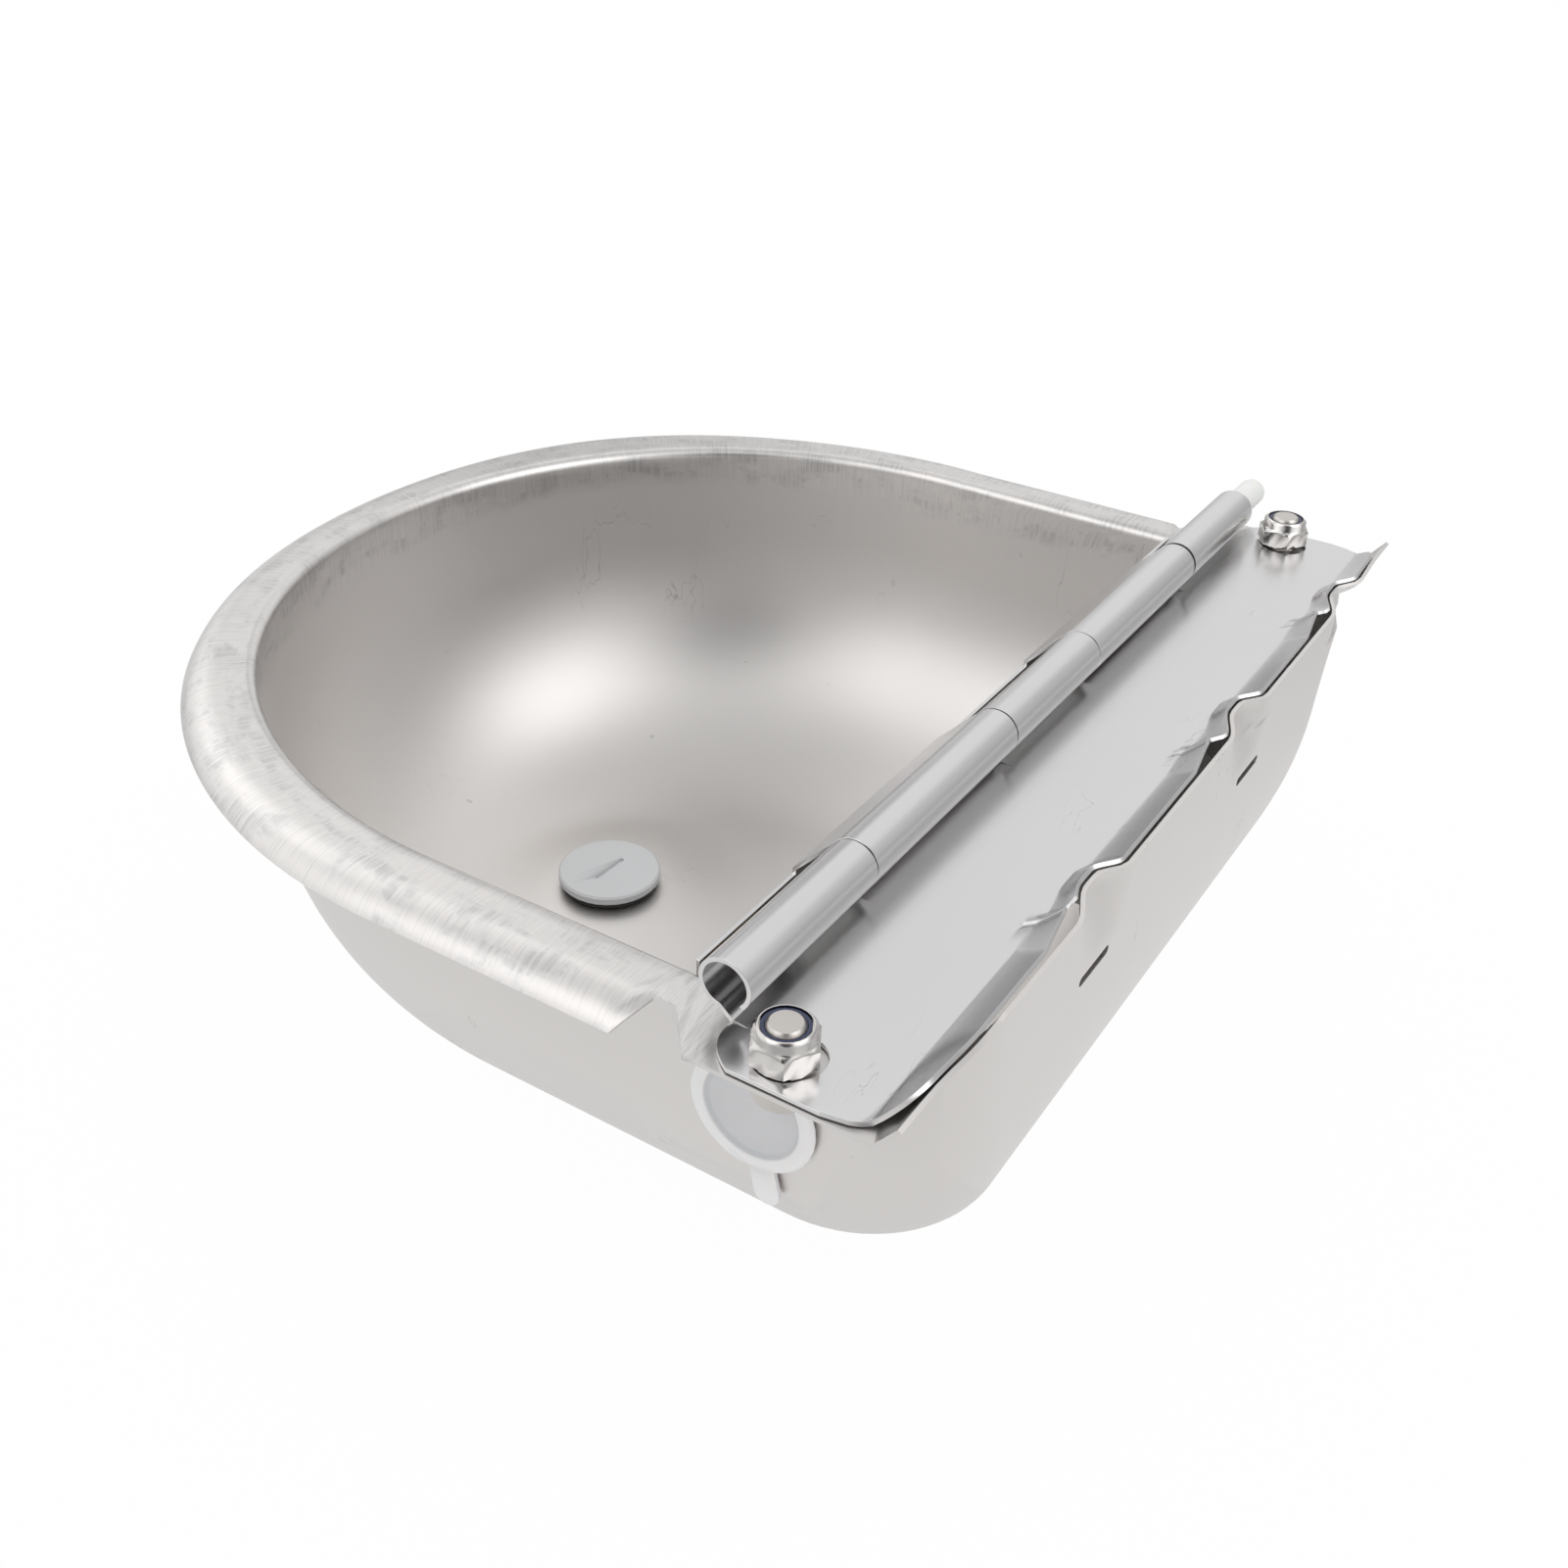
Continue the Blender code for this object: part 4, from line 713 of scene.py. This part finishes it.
def bands(work, rows, closed):
    for lower, upper in zip(rows, rows[1:]):
        count = len(lower)
        for i in range(count if closed else count - 1):
            corners = [lower[i], lower[(i + 1) % count], upper[(i + 1) % count], upper[i]]
            kept = [vert for k, vert in enumerate(corners) if vert not in corners[:k]]
            if len(kept) > 2:
                work.faces.new(kept)


def change(made, kind, **settings):
    step = made.modifiers.new(kind.lower(), kind)
    for key, value in settings.items():
        setattr(step, key, value)


def sheet(made, thickness, offset, edge):
    # a surface gets its thickness and slightly broken sheet edges
    change(
        made, "SOLIDIFY", thickness=thickness, offset=offset, use_even_offset=True,
        use_quality_normals=True,
    )
    change(made, "BEVEL", width=edge, segments=1, limit_method="ANGLE", angle_limit=edgeAngle)
    bake(made)


def turnedTool(work, radius, low, high, middle, axis, steps=64):
    turn = Vector(axis).to_track_quat("Z", "Y").to_matrix().to_4x4()
    frameAt = Matrix.Translation(middle) @ turn @ Matrix.Translation((0, 0, (low + high) / 2))
    size = {"radius1": radius, "radius2": radius, "depth": high - low}
    bmesh.ops.create_cone(work, cap_ends=True, segments=steps, matrix=frameAt, **size)


def studHoles(work, radius, low, high, shift, steps):
    # shift moves a hole inwards and back from its stud
    studX, studY = bowl["stud"]
    for side in (1, -1):
        middle = (side * (studX - shift), studY + shift, 0)
        turnedTool(work, radius, low, high, middle, (0, 0, 1), steps)


def slotTool(work, length, height, middle, low, high):
    near, far = [], []
    radius, steps = height / 2, 12
    for side in (1, -1):
        for i in range(steps + 1):
            a = -math.pi / 2 + math.pi * i / steps
            u = side * (length / 2 - radius + radius * math.cos(a))
            v = side * radius * math.sin(a)
            near.append(work.verts.new((middle + u, low, v - bowl["slotDrop"])))
            far.append(work.verts.new((middle + u, high, v - bowl["slotDrop"])))
    bands(work, [near, far], True)
    work.faces.new(near)
    work.faces.new(far)


def cutAway(made, work):
    bmesh.ops.recalc_face_normals(work, faces=work.faces)
    tool = fromWork(work, "tool")
    change(made, "BOOLEAN", operation="DIFFERENCE", object=tool, solver="EXACT")
    bake(made)
    bpy.data.meshes.remove(tool.data)  # takes the tool with it


def makeBowl():
    rings = bowlRings()
    work = bmesh.new()
    layer = work.loops.layers.uv.new("UVMap")
    rows = [[work.verts.new(point) for point in ring] for ring in rings]
    bands(work, rows, True)
    across, around = {}, {}
    first = rings[0]
    total = 0.0
    for k in range(len(first)):
        fallen = bowlLook["rimEnd"] * ease(first[k].y, *bowl["wrapFade"])
        for i, ring in enumerate(rings):
            if i:
                fallen += (ring[k] - rings[i - 1][k]).length
            across[rows[i][k]] = fallen
            around[rows[i][k]] = total
        total += (first[(k + 1) % len(first)] - first[k]).length
    bmesh.ops.recalc_face_normals(work, faces=work.faces)
    if rows[-1][0].normal.z < 0:
        bmesh.ops.reverse_faces(work, faces=work.faces)
    for face in work.faces:
        marks = [around[loop.vert] for loop in face.loops]
        wrapped = max(marks) - min(marks) > total / 2
        for loop, mark in zip(face.loops, marks):
            mark += total if wrapped and mark < total / 2 else 0
            loop[layer].uv = (mark, across[loop.vert])
    made = fromWork(work, "bowlSkin")
    sheet(made, bowl["sheet"], -1, bowl["edge"])
    holes = bmesh.new()
    inletY, inletZ, bore = bowl["inlet"]
    wall, back = bowl["halfWidth"], bowl["back"]
    inside, outside = bowl["cutReach"]
    turnedTool(holes, bore, wall - inside, wall + outside, (0, inletY, inletZ), (1, 0, 0))
    for place in bowl["slotPlaces"]:
        slotTool(holes, *bowl["slotSize"], place * wall, back - inside, back + outside)
    studHoles(holes, bowl["studHole"], *bowl["studCut"], 0, 48)
    cutAway(made, holes)
    standIn(made, "bowl_shell")


cover = {
    "sheet": 1.0 * mm,
    "halfLength": 149.6 * mm,
    "front": 2.0 * mm,
    "edgeGap": 0.9 * mm,
    "corner": 15.0 * mm,
    "rampLift": 0.4 * mm,
    "dartPlaces": (0.6907, 0.0432, -0.6122),
    "dartLength": 17.0 * mm,
    "dartLean": 7.0 * mm,
    "dartFall": 4.0 * mm,
    "dartStart": 34.2 * mm,
    "dartHeight": 3.6 * mm,
    "dartPull": 2.6 * mm,
    "creaseDepth": 0.35 * mm,
    "creaseWidth": 1.3 * mm,
    "creaseFade": 2.0 * mm,
    "rampBend": 1.2,
    "hingeHeight": 8.0 * mm,
    "knuckle": 5.5 * mm,
    "hingeHalf": 138.0 * mm,
    "cuts": (0.3457, 0.4812),
    "endGap": 0.8 * mm,
    "runningGap": 0.4 * mm,
    "holeRadius": 6.4 * mm,
    "holeShift": 1.4 * mm,
    "columnStep": 1.0 * mm,
    "columnGap": 0.3 * mm,
    "dartMargin": 5.0 * mm,  # finer columns start this far before a dart
    # rows over the flat and up the ramp, and the share of the depth each takes
    "rows": (12, 32),
    "rowShares": (0.70, 0.30),
    "outerFront": (0.3, 1.2),  # front edge past the hinge, in knuckle radii
    "curl": (258, 304),  # degrees: where the tube starts and how far it turns
    "curlFoot": (0.36, 0.16),  # the step before it: out in radii, up as a share of the gap
    "curlSteps": 60,
    "edge": 0.10 * mm,
    "cut": 4.0 * mm,
}
spanSlack = 0.1 * mm


def hingeCuts():
    half = cover["hingeHalf"]
    first, second = cover["cuts"]
    ends = [half, half * (1 - first), half * (1 - first - second)]
    return ends + [-end for end in reversed(ends)]


def coverSpans():
    cuts = hingeCuts()
    return (cuts[0], cuts[1]), (cuts[2], cuts[3]), (cuts[4] - cover["endGap"], cuts[5])


def flapSpans():
    cuts, gap = hingeCuts(), cover["runningGap"]
    return (cuts[1] - gap, cuts[2] + gap), (cuts[3] - gap, cuts[4] + gap)


def tubePoint(angle):
    radius = cover["knuckle"]
    return radius * math.cos(angle), cover["hingeHeight"] + radius * math.sin(angle)


def rollKnuckles(work, spans, columns, rows, path):
    # the sheet's edge, first in each row, curls into a tube over every span
    for start, end in spans:
        grid = []
        for x, row in zip(columns, rows):
            if end - spanSlack <= x <= start + spanSlack:
                grid.append([row[0]] + [work.verts.new((x, y, z)) for y, z in path])
        bands(work, grid, False)


def pressed(work, name):
    bmesh.ops.recalc_face_normals(work, faces=work.faces)
    made = fromWork(work, name)
    sheet(made, cover["sheet"], 0, cover["edge"])
    return made


def ridge(x, foot, top):
    # slow rise from the dart's foot to its top, then a quick fall
    if x >= top:
        return ramp(-x, -foot, -top)
    return 1 - ramp(-x, -top, cover["dartFall"] - top)


def coverFront(x):
    if any(end <= x <= start for start, end in coverSpans()):
        return cover["knuckle"]
    if abs(x) > cover["hingeHalf"]:
        out = ramp(abs(x), cover["hingeHalf"], cover["halfLength"])
        near, further = cover["outerFront"]
        return cover["knuckle"] * (near + further * out ** 3)
    return cover["front"]


def coverBack(x):
    back = bowl["back"] - bowl["bulgeDepth"] * bulge(x) - cover["edgeGap"]
    for place in cover["dartPlaces"]:
        foot = place * bowl["halfWidth"]
        back -= cover["dartPull"] * ridge(x, foot, foot - cover["dartLength"])
    over = abs(x) - (cover["halfLength"] - cover["corner"])
    if over > 0:
        back -= cover["corner"] - math.sqrt(max(cover["corner"] ** 2 - over ** 2, 0))
    return back


def coverLevel(x, y):
    start, back = bowl["rampStart"], bowl["back"]
    rise = lipTop(x) - bowl["ledge"] + cover["rampLift"]
    push = bowl["bulgeDepth"] * bulge(x)
    pushed = y + push * ease(y, start - push, back - push)
    level = -cover["sheet"] / 2 + rise * ramp(pushed, start, back) ** cover["rampBend"]
    dartStart, crease = cover["dartStart"], cover["creaseWidth"]
    fade = ramp(y, dartStart - cover["creaseFade"], dartStart)
    t = ramp(y, dartStart, back)
    for place in cover["dartPlaces"]:
        foot = place * bowl["halfWidth"]
        top = foot - cover["dartLength"] + cover["dartLean"] * (1 - t)
        level += cover["dartHeight"] * t * ridge(x, foot, top)
        off = math.hypot(x - top - crease, max(dartStart - y, 0)) / crease
        level -= cover["creaseDepth"] * math.exp(-off * off) * fade
    return level


def coverColumns():
    half = cover["halfLength"]
    ends = [end for span in coverSpans() + flapSpans() for end in span]
    fixed = ends + [half, -half]
    count = round(2 * half / cover["columnStep"])
    even = [half - 2 * half * i / count for i in range(1, count)]
    for place in cover["dartPlaces"]:
        foot = place * bowl["halfWidth"]
        start = foot - cover["dartLength"] - cover["dartMargin"]
        even += [x - cover["columnStep"] / 2 for x in even if start < x < foot]
    return spread(fixed, even, cover["columnGap"])


def makeCover():
    work = bmesh.new()
    columns = coverColumns()
    flatRows, rampRows = cover["rows"]
    flatShare, rampShare = cover["rowShares"]
    shares = [i / flatRows * flatShare for i in range(flatRows)]
    shares += [flatShare + rampShare * i / rampRows for i in range(rampRows + 1)]
    rows = []
    for x in columns:
        front, back = coverFront(x), coverBack(x)
        marks = [front + (back - front) * share for share in shares]
        rows.append([work.verts.new((x, y, coverLevel(x, y))) for y in marks])
    bands(work, rows, False)
    out, up = cover["curlFoot"]
    rise = (cover["hingeHeight"] - cover["knuckle"]) * up
    start, turn = cover["curl"]
    steps = cover["curlSteps"]
    path = [(cover["knuckle"] * out, -cover["sheet"] / 2 + rise)]
    path += [tubePoint(math.radians(start - turn * i / steps)) for i in range(steps + 1)]
    rollKnuckles(work, coverSpans(), columns, rows, path)
    made = pressed(work, "coverSkin")
    holes = bmesh.new()
    studHoles(holes, cover["holeRadius"], -cover["cut"], cover["cut"], cover["holeShift"], 72)
    cutAway(made, holes)
    standIn(made, "cover_plate")


flap = {
    "front": -14.5 * mm,
    "top": -0.6 * mm,
    "bottom": -78.0 * mm,
    "sideGap": 1.5 * mm,
    "hem": 4.0 * mm,
    "hemRows": 4,  # the rows over which the sides narrow to it
    "joinRise": 0.3 * mm,
    "knuckleEnd": -98.0,  # degrees
    "columns": 60,
    "columnGap": 0.9 * mm,
    "rows": 40,
    "curlSteps": 56,
}


def flapHalf(level):
    sideIn = (bowl["halfWidth"] - bowl["bottomHalfWidth"]) * drawIn(level)
    return bowl["halfWidth"] - sideIn - flap["sideGap"]


def makeFlap():
    work = bmesh.new()
    half = flapHalf(flap["top"])
    ends = [end for span in flapSpans() for end in span]
    count, rows = flap["columns"], flap["rows"]
    even = [half - 2 * half * i / count for i in range(1, count)]
    marks = spread(ends + [half, -half], even, flap["columnGap"])
    fall = flap["bottom"] - flap["top"]
    levels = [flap["top"] + fall * i / rows for i in range(rows + 1)]
    hemTop = levels[-flap["hemRows"]]
    grid = []
    for mark in marks:
        row = []
        for level in levels:
            wide = flapHalf(level) - flap["hem"] * ramp(hemTop - level, 0, hemTop - levels[-1])
            row.append(work.verts.new((mark / half * wide, flap["front"], level)))
        hem = flapHalf(flap["bottom"]) - 2 * flap["hem"]
        low = (mark / half * hem, flap["front"] + flap["hem"] / 2, flap["bottom"] - flap["hem"])
        grid.append(row + [work.verts.new(low)])
    bands(work, grid, False)
    foot = flap["top"] + flap["joinRise"]
    start = Vector((flap["front"], foot + cover["sheet"]))
    away = start - Vector((0, cover["hingeHeight"]))
    turn = math.atan2(away.y, away.x) % (2 * math.pi) - math.acos(cover["knuckle"] / away.length)
    end = math.radians(flap["knuckleEnd"])
    steps = flap["curlSteps"]
    path = [tuple(start)] + [tubePoint(turn + (end - turn) * i / steps) for i in range(steps + 1)]
    rollKnuckles(work, flapSpans(), marks, grid, path)
    made = pressed(work, "flapSkin")
    standIn(made, "partition_flap")
    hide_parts("partition_flap", "flap_knuckle_near", "flap_knuckle_far")


studTop = {"above": 6.0 * mm, "lower": 1.5 * mm}
weldDistance = 0.002 * mm
flatAngle = math.radians(0.5)


def smoothCopy(node, name):
    # CAD triangles merged and shaded smooth up to the crease angle
    mesh = nodes[node].data.copy()
    work = bmesh.new()
    work.from_mesh(mesh)
    bmesh.ops.remove_doubles(work, verts=work.verts, dist=weldDistance)
    if node.startswith("cover_stud"):
        for vert in work.verts:
            high = vert.co.z > home.z + studTop["above"]
            vert.co.z -= studTop["lower"] if high else 0
    bmesh.ops.dissolve_limit(work, angle_limit=flatAngle, verts=work.verts, edges=work.edges)
    work.to_mesh(mesh)
    work.free()
    standIn(addObject(name, mesh), node)


# pieces that follow a rule, by Geometry Nodes


def byRule(name, sizes, look, build):
    # sizes become the tree's named inputs, build() joins its nodes
    tree = bpy.data.node_groups.new(name + "Rule", "GeometryNodeTree")
    kinds = {int: "NodeSocketInt", float: "NodeSocketFloat"}
    for key, value in sizes.items():
        tree.interface.new_socket(key, in_out="INPUT", socket_type=kinds[type(value)])
    tree.interface.new_socket("Geometry", in_out="OUTPUT", socket_type="NodeSocketGeometry")
    b = Bench(tree)
    outs = b.node("NodeGroupInput").socket.node.outputs
    shape = build(b, {key: Wire(b, outs[key]) for key in sizes})
    whole = b.node("GeometryNodeRealizeInstances", {}, {0: shape})
    painted = b.node("GeometryNodeSetMaterial", {}, {"Geometry": whole, "Material": look})
    b.node("NodeGroupOutput", {}, {0: painted})
    made = addObject(name, bpy.data.meshes.new(name))
    step = made.modifiers.new("rule", "NODES")
    step.node_group = tree
    for item in tree.interface.items_tree:
        if item.in_out == "INPUT":
            step[item.identifier] = sizes[item.name]
    bake(made)
    return made


def circle(b, sides, radius):
    return b.node("GeometryNodeCurvePrimitiveCircle", {}, {"Resolution": sides, "Radius": radius})


def rodRule(b, given):
    # a straight rod along X, its ends narrowed over the chamfer's length
    start = b.vector(given["Start"], given["Across"], given["Level"])
    end = b.vector(given["End"], given["Across"], given["Level"])
    line = b.node("GeometryNodeCurvePrimitiveLine", {}, {"Start": start, "End": end})
    steps = b.node("GeometryNodeResampleCurve", {}, {"Curve": line, "Count": given["Steps"]})
    share = b.node("GeometryNodeSplineParameter")
    length = given["End"] - given["Start"]
    near = (share * length).atMost((1 - share) * length)
    taper = (near / given["Chamfer"]).atMost(1.0)
    scale = (1 - given["Narrowing"]) + given["Narrowing"] * (1 - (1 - taper) * (1 - taper))
    ring = circle(b, given["Sides"], given["Radius"])
    sockets = {"Curve": steps, "Profile Curve": ring, "Scale": scale, "Fill Caps": True}
    return b.node("GeometryNodeCurveToMesh", {}, sockets)


def ringRule(b, given):
    # a round cord bent into a ring and pressed flat
    path = circle(b, given["Sides"], given["Radius"])
    cord = circle(b, given["Facets"], given["Cord"])
    ring = b.node("GeometryNodeCurveToMesh", {}, {"Curve": path, "Profile Curve": cord})
    place = b.vector(given["X"], given["Y"], given["Z"])
    scale = b.vector(1.0, 1.0, given["Flatness"])
    return b.node("GeometryNodeTransform", {}, {"Geometry": ring, "Translation": place, "Scale": scale})


def threadRule(b, given):
    # a small ridge that winds along X inside a round bore
    sockets = {"Resolution": given["Sides"], "Rotations": given["Turns"], "Height": given["Length"]}
    sockets.update({"Start Radius": given["Radius"], "End Radius": given["Radius"]})
    path = b.node("GeometryNodeCurveSpiral", {}, sockets)
    sockets = {"Curve": path, "Profile Curve": circle(b, 4, given["Ridge"]), "Fill Caps": True}
    wound = b.node("GeometryNodeCurveToMesh", {}, sockets)
    sockets = {"Geometry": wound, "Rotation": (0.0, math.pi / 2, 0.0)}
    sockets["Translation"] = b.vector(given["X"], given["Y"], given["Z"])
    return b.node("GeometryNodeTransform", {}, sockets)


pin = {
    "Start": home.x - 156.5 * mm,
    "End": home.x + 111.0 * mm,
    "Across": home.y,
    "Level": home.z + 8.0 * mm,
    "Radius": 4.1 * mm,
    "Chamfer": 1.6 * mm,
    "Narrowing": 0.34,
    "Steps": 480,
    "Sides": 40,
}
gasket = {
    "X": home.x + 7.0 * mm,
    "Y": home.y - 131.0 * mm,
    "Z": home.z - 99.5 * mm,
    "Radius": 13.4 * mm,
    "Cord": 1.5 * mm,
    "Flatness": 0.52,
    "Sides": 96,
    "Facets": 20,
}
socketThread = {
    "X": home.x + 117.6 * mm,
    "Y": home.y + 1.5 * mm,
    "Z": home.z - 30.0 * mm,
    "Radius": 12.1 * mm,
    "Ridge": 0.5 * mm,
    "Length": 3.4 * mm,
    "Turns": 2.3,
    "Sides": 48,
}
standIn(byRule("hingePin", pin, pinPlastic, rodRule), "hinge_pin")
standIn(byRule("drainGasket", gasket, gasketRubber, ringRule), "drain_gasket")
thread = byRule("socketThread", socketThread, lockSteel, threadRule)
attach(thread, bodyOf["inlet_socket"])
print("rule pieces made")

for node, (look, slotName, name) in slots.items():
    if name:
        smoothCopy(node, name)
makeBowl()
makeCover()
makeFlap()
print("pieces made")


# studio

studio = {
    "floorSize": 6.0,
    "floorDrop": 0.3 * mm,
    "floorTone": 0.80,
    "floorGlow": 0.975,
    "mirrored": 0.91,  # what steel sees above, before the panels
    "horizon": 0.75,
    "floorNear": 0.88,  # floor under and away from the object, as steel sees it
    "floorFar": 0.60,
    "floorFade": (0.22, 0.60),  # metres from the middle
    "horizonFade": (-0.05, 0.35),
    "ambient": 1.05,
    "aim": (0, 0, 0.06),
}
viewpoint = {  # fitted to the photograph's perspective
    "place": (0.34755, 0.23295, 0.3161),
    "heading": (31.57, 32.08),  # azimuth and elevation
    "roll": 1.98,
    "lens": 38.86,
    "sensor": 36.0,
    "shift": (0.0016, -0.0107),
    "nearest": 0.01,
}
# soft panels and dark sides of the room as steel sees them:
# azimuth, elevation, inner and outer half angle, change in brightness
panels = (
    (92, 36, 8, 35, 0.62),
    (229, 25, 8, 21, -0.46),
    (282, 8, 18, 44, 0.22),
    (339, 36, 8, 29, 0.68),
    (20, 4, 22, 50, -0.26),
    (36, 33, 8, 26, -0.60),
    (145, 5, 14, 40, -0.30),
    (222, -4, 6, 22, -0.10),
    (0, 90, 16, 40, -0.25),
)
lamps = (
    # name, azimuth, elevation, distance, width, height, radiance
    ("windowRight", 92.0, 42.0, 1.5, 0.9, 0.8, 0.45),
    ("windowLeft", 250.0, 40.0, 1.9, 1.6, 1.2, 0.5),
)


def heading(azimuth, elevation):
    a, e = math.radians(azimuth), math.radians(elevation)
    return Vector((math.cos(a) * math.cos(e), math.sin(a) * math.cos(e), math.sin(e)))


def rays(b, *kinds):
    outs = b.node("ShaderNodeLightPath").socket.node.outputs
    return [Wire(b, outs["Is " + kind + " Ray"]) for kind in kinds]


def makeWorld():
    world = bpy.data.worlds.new("studioWorld")
    bpy.context.scene.world = world
    world.use_nodes = True
    tree = world.node_tree
    tree.nodes.clear()
    b = Bench(tree)
    camera, glossy, clear = rays(b, "Camera", "Glossy", "Transmission")
    toward = b.node("ShaderNodeTexCoord", outlet="Generated")
    up = b.parts(toward)[2].between(*studio["horizonFade"])
    seen = up * (studio["mirrored"] - studio["horizon"]) + studio["horizon"]
    for azimuth, elevation, inner, outer, gain in panels:
        settings, sockets = {"operation": "DOT_PRODUCT"}, {0: toward, 1: heading(azimuth, elevation)}
        near = b.node("ShaderNodeVectorMath", settings, sockets, outlet="Value")
        lobe = near.between(math.cos(math.radians(outer)), math.cos(math.radians(inner)))
        seen = lobe * gain + seen
    ambient = studio["ambient"]
    mirrored = b.node("ShaderNodeCombineColor", {}, {0: seen, 1: seen, 2: seen})
    tone = b.mix(glossy.atLeast(clear), rgb(ambient, ambient, ambient), mirrored)
    tone = b.mix(camera, tone, rgb(1, 1, 1))
    back = b.node("ShaderNodeBackground", {}, {0: tone, 1: 1.0})
    b.node("ShaderNodeOutputWorld", {}, {0: back})


def makeFloor():
    half, low = studio["floorSize"] / 2, -studio["floorDrop"]
    mesh = bpy.data.meshes.new("studioFloor")
    corners = [(-half, -half, low), (half, -half, low), (half, half, low), (-half, half, low)]
    mesh.from_pydata(corners, [], [(0, 1, 2, 3)])
    floor = addObject("studioFloor", mesh)
    made = bpy.data.materials.new("floorPaper")
    made.use_nodes = True
    tree = made.node_tree
    tree.nodes.clear()
    b = Bench(tree)
    camera, glossy = rays(b, "Camera", "Glossy")
    settings = {"operation": "LENGTH"}
    away = b.node("ShaderNodeVectorMath", settings, {0: b.coords()}, outlet="Value")
    white = rgb(1, 1, 1)
    near, far = (rgb(*[studio[key]] * 3) for key in ("floorNear", "floorFar"))
    dim = b.mix(away.between(*studio["floorFade"]), near, far)
    paper = b.node("ShaderNodeBsdfDiffuse", {}, {0: rgb(*[studio["floorTone"]] * 3)})
    glow = b.node("ShaderNodeEmission", {}, {0: b.mix(glossy, white, dim), 1: 1.0})
    shown = camera.atLeast(glossy)
    both = b.node("ShaderNodeMixShader", {}, {0: shown * studio["floorGlow"], 1: paper, 2: glow})
    b.node("ShaderNodeOutputMaterial", {}, {0: both})
    mesh.materials.append(made)


def makeLamps():
    target = Vector(studio["aim"])
    for name, azimuth, elevation, distance, width, height, radiance in lamps:
        lamp = bpy.data.lights.new(name, "AREA")
        lamp.shape = "RECTANGLE"
        lamp.size = width
        lamp.size_y = height
        lamp.energy = radiance * math.pi * width * height
        made = addObject(name, lamp)
        made.location = target + distance * heading(azimuth, elevation)
        made.rotation_euler = (target - made.location).to_track_quat("-Z", "Y").to_euler()


def makeCamera():
    ahead, roll = -heading(*viewpoint["heading"]), math.radians(viewpoint["roll"])
    right = ahead.cross(Vector((0, 0, 1))).normalized()
    above = right.cross(ahead)
    side = right * math.cos(roll) + above * math.sin(roll)
    top = above * math.cos(roll) - right * math.sin(roll)
    turn = Matrix((side, top, -ahead)).transposed().to_4x4()
    lens = bpy.data.cameras.new("camera")
    lens.lens = viewpoint["lens"]
    lens.sensor_width = viewpoint["sensor"]
    lens.shift_x, lens.shift_y = viewpoint["shift"]
    lens.clip_start = viewpoint["nearest"]
    made = addObject("camera", lens)
    made.matrix_world = Matrix.Translation(viewpoint["place"]) @ turn
    bpy.context.scene.camera = made


makeWorld()
makeFloor()
makeLamps()
makeCamera()
bpy.context.scene.view_settings.view_transform = "Standard"
print("studio ready")
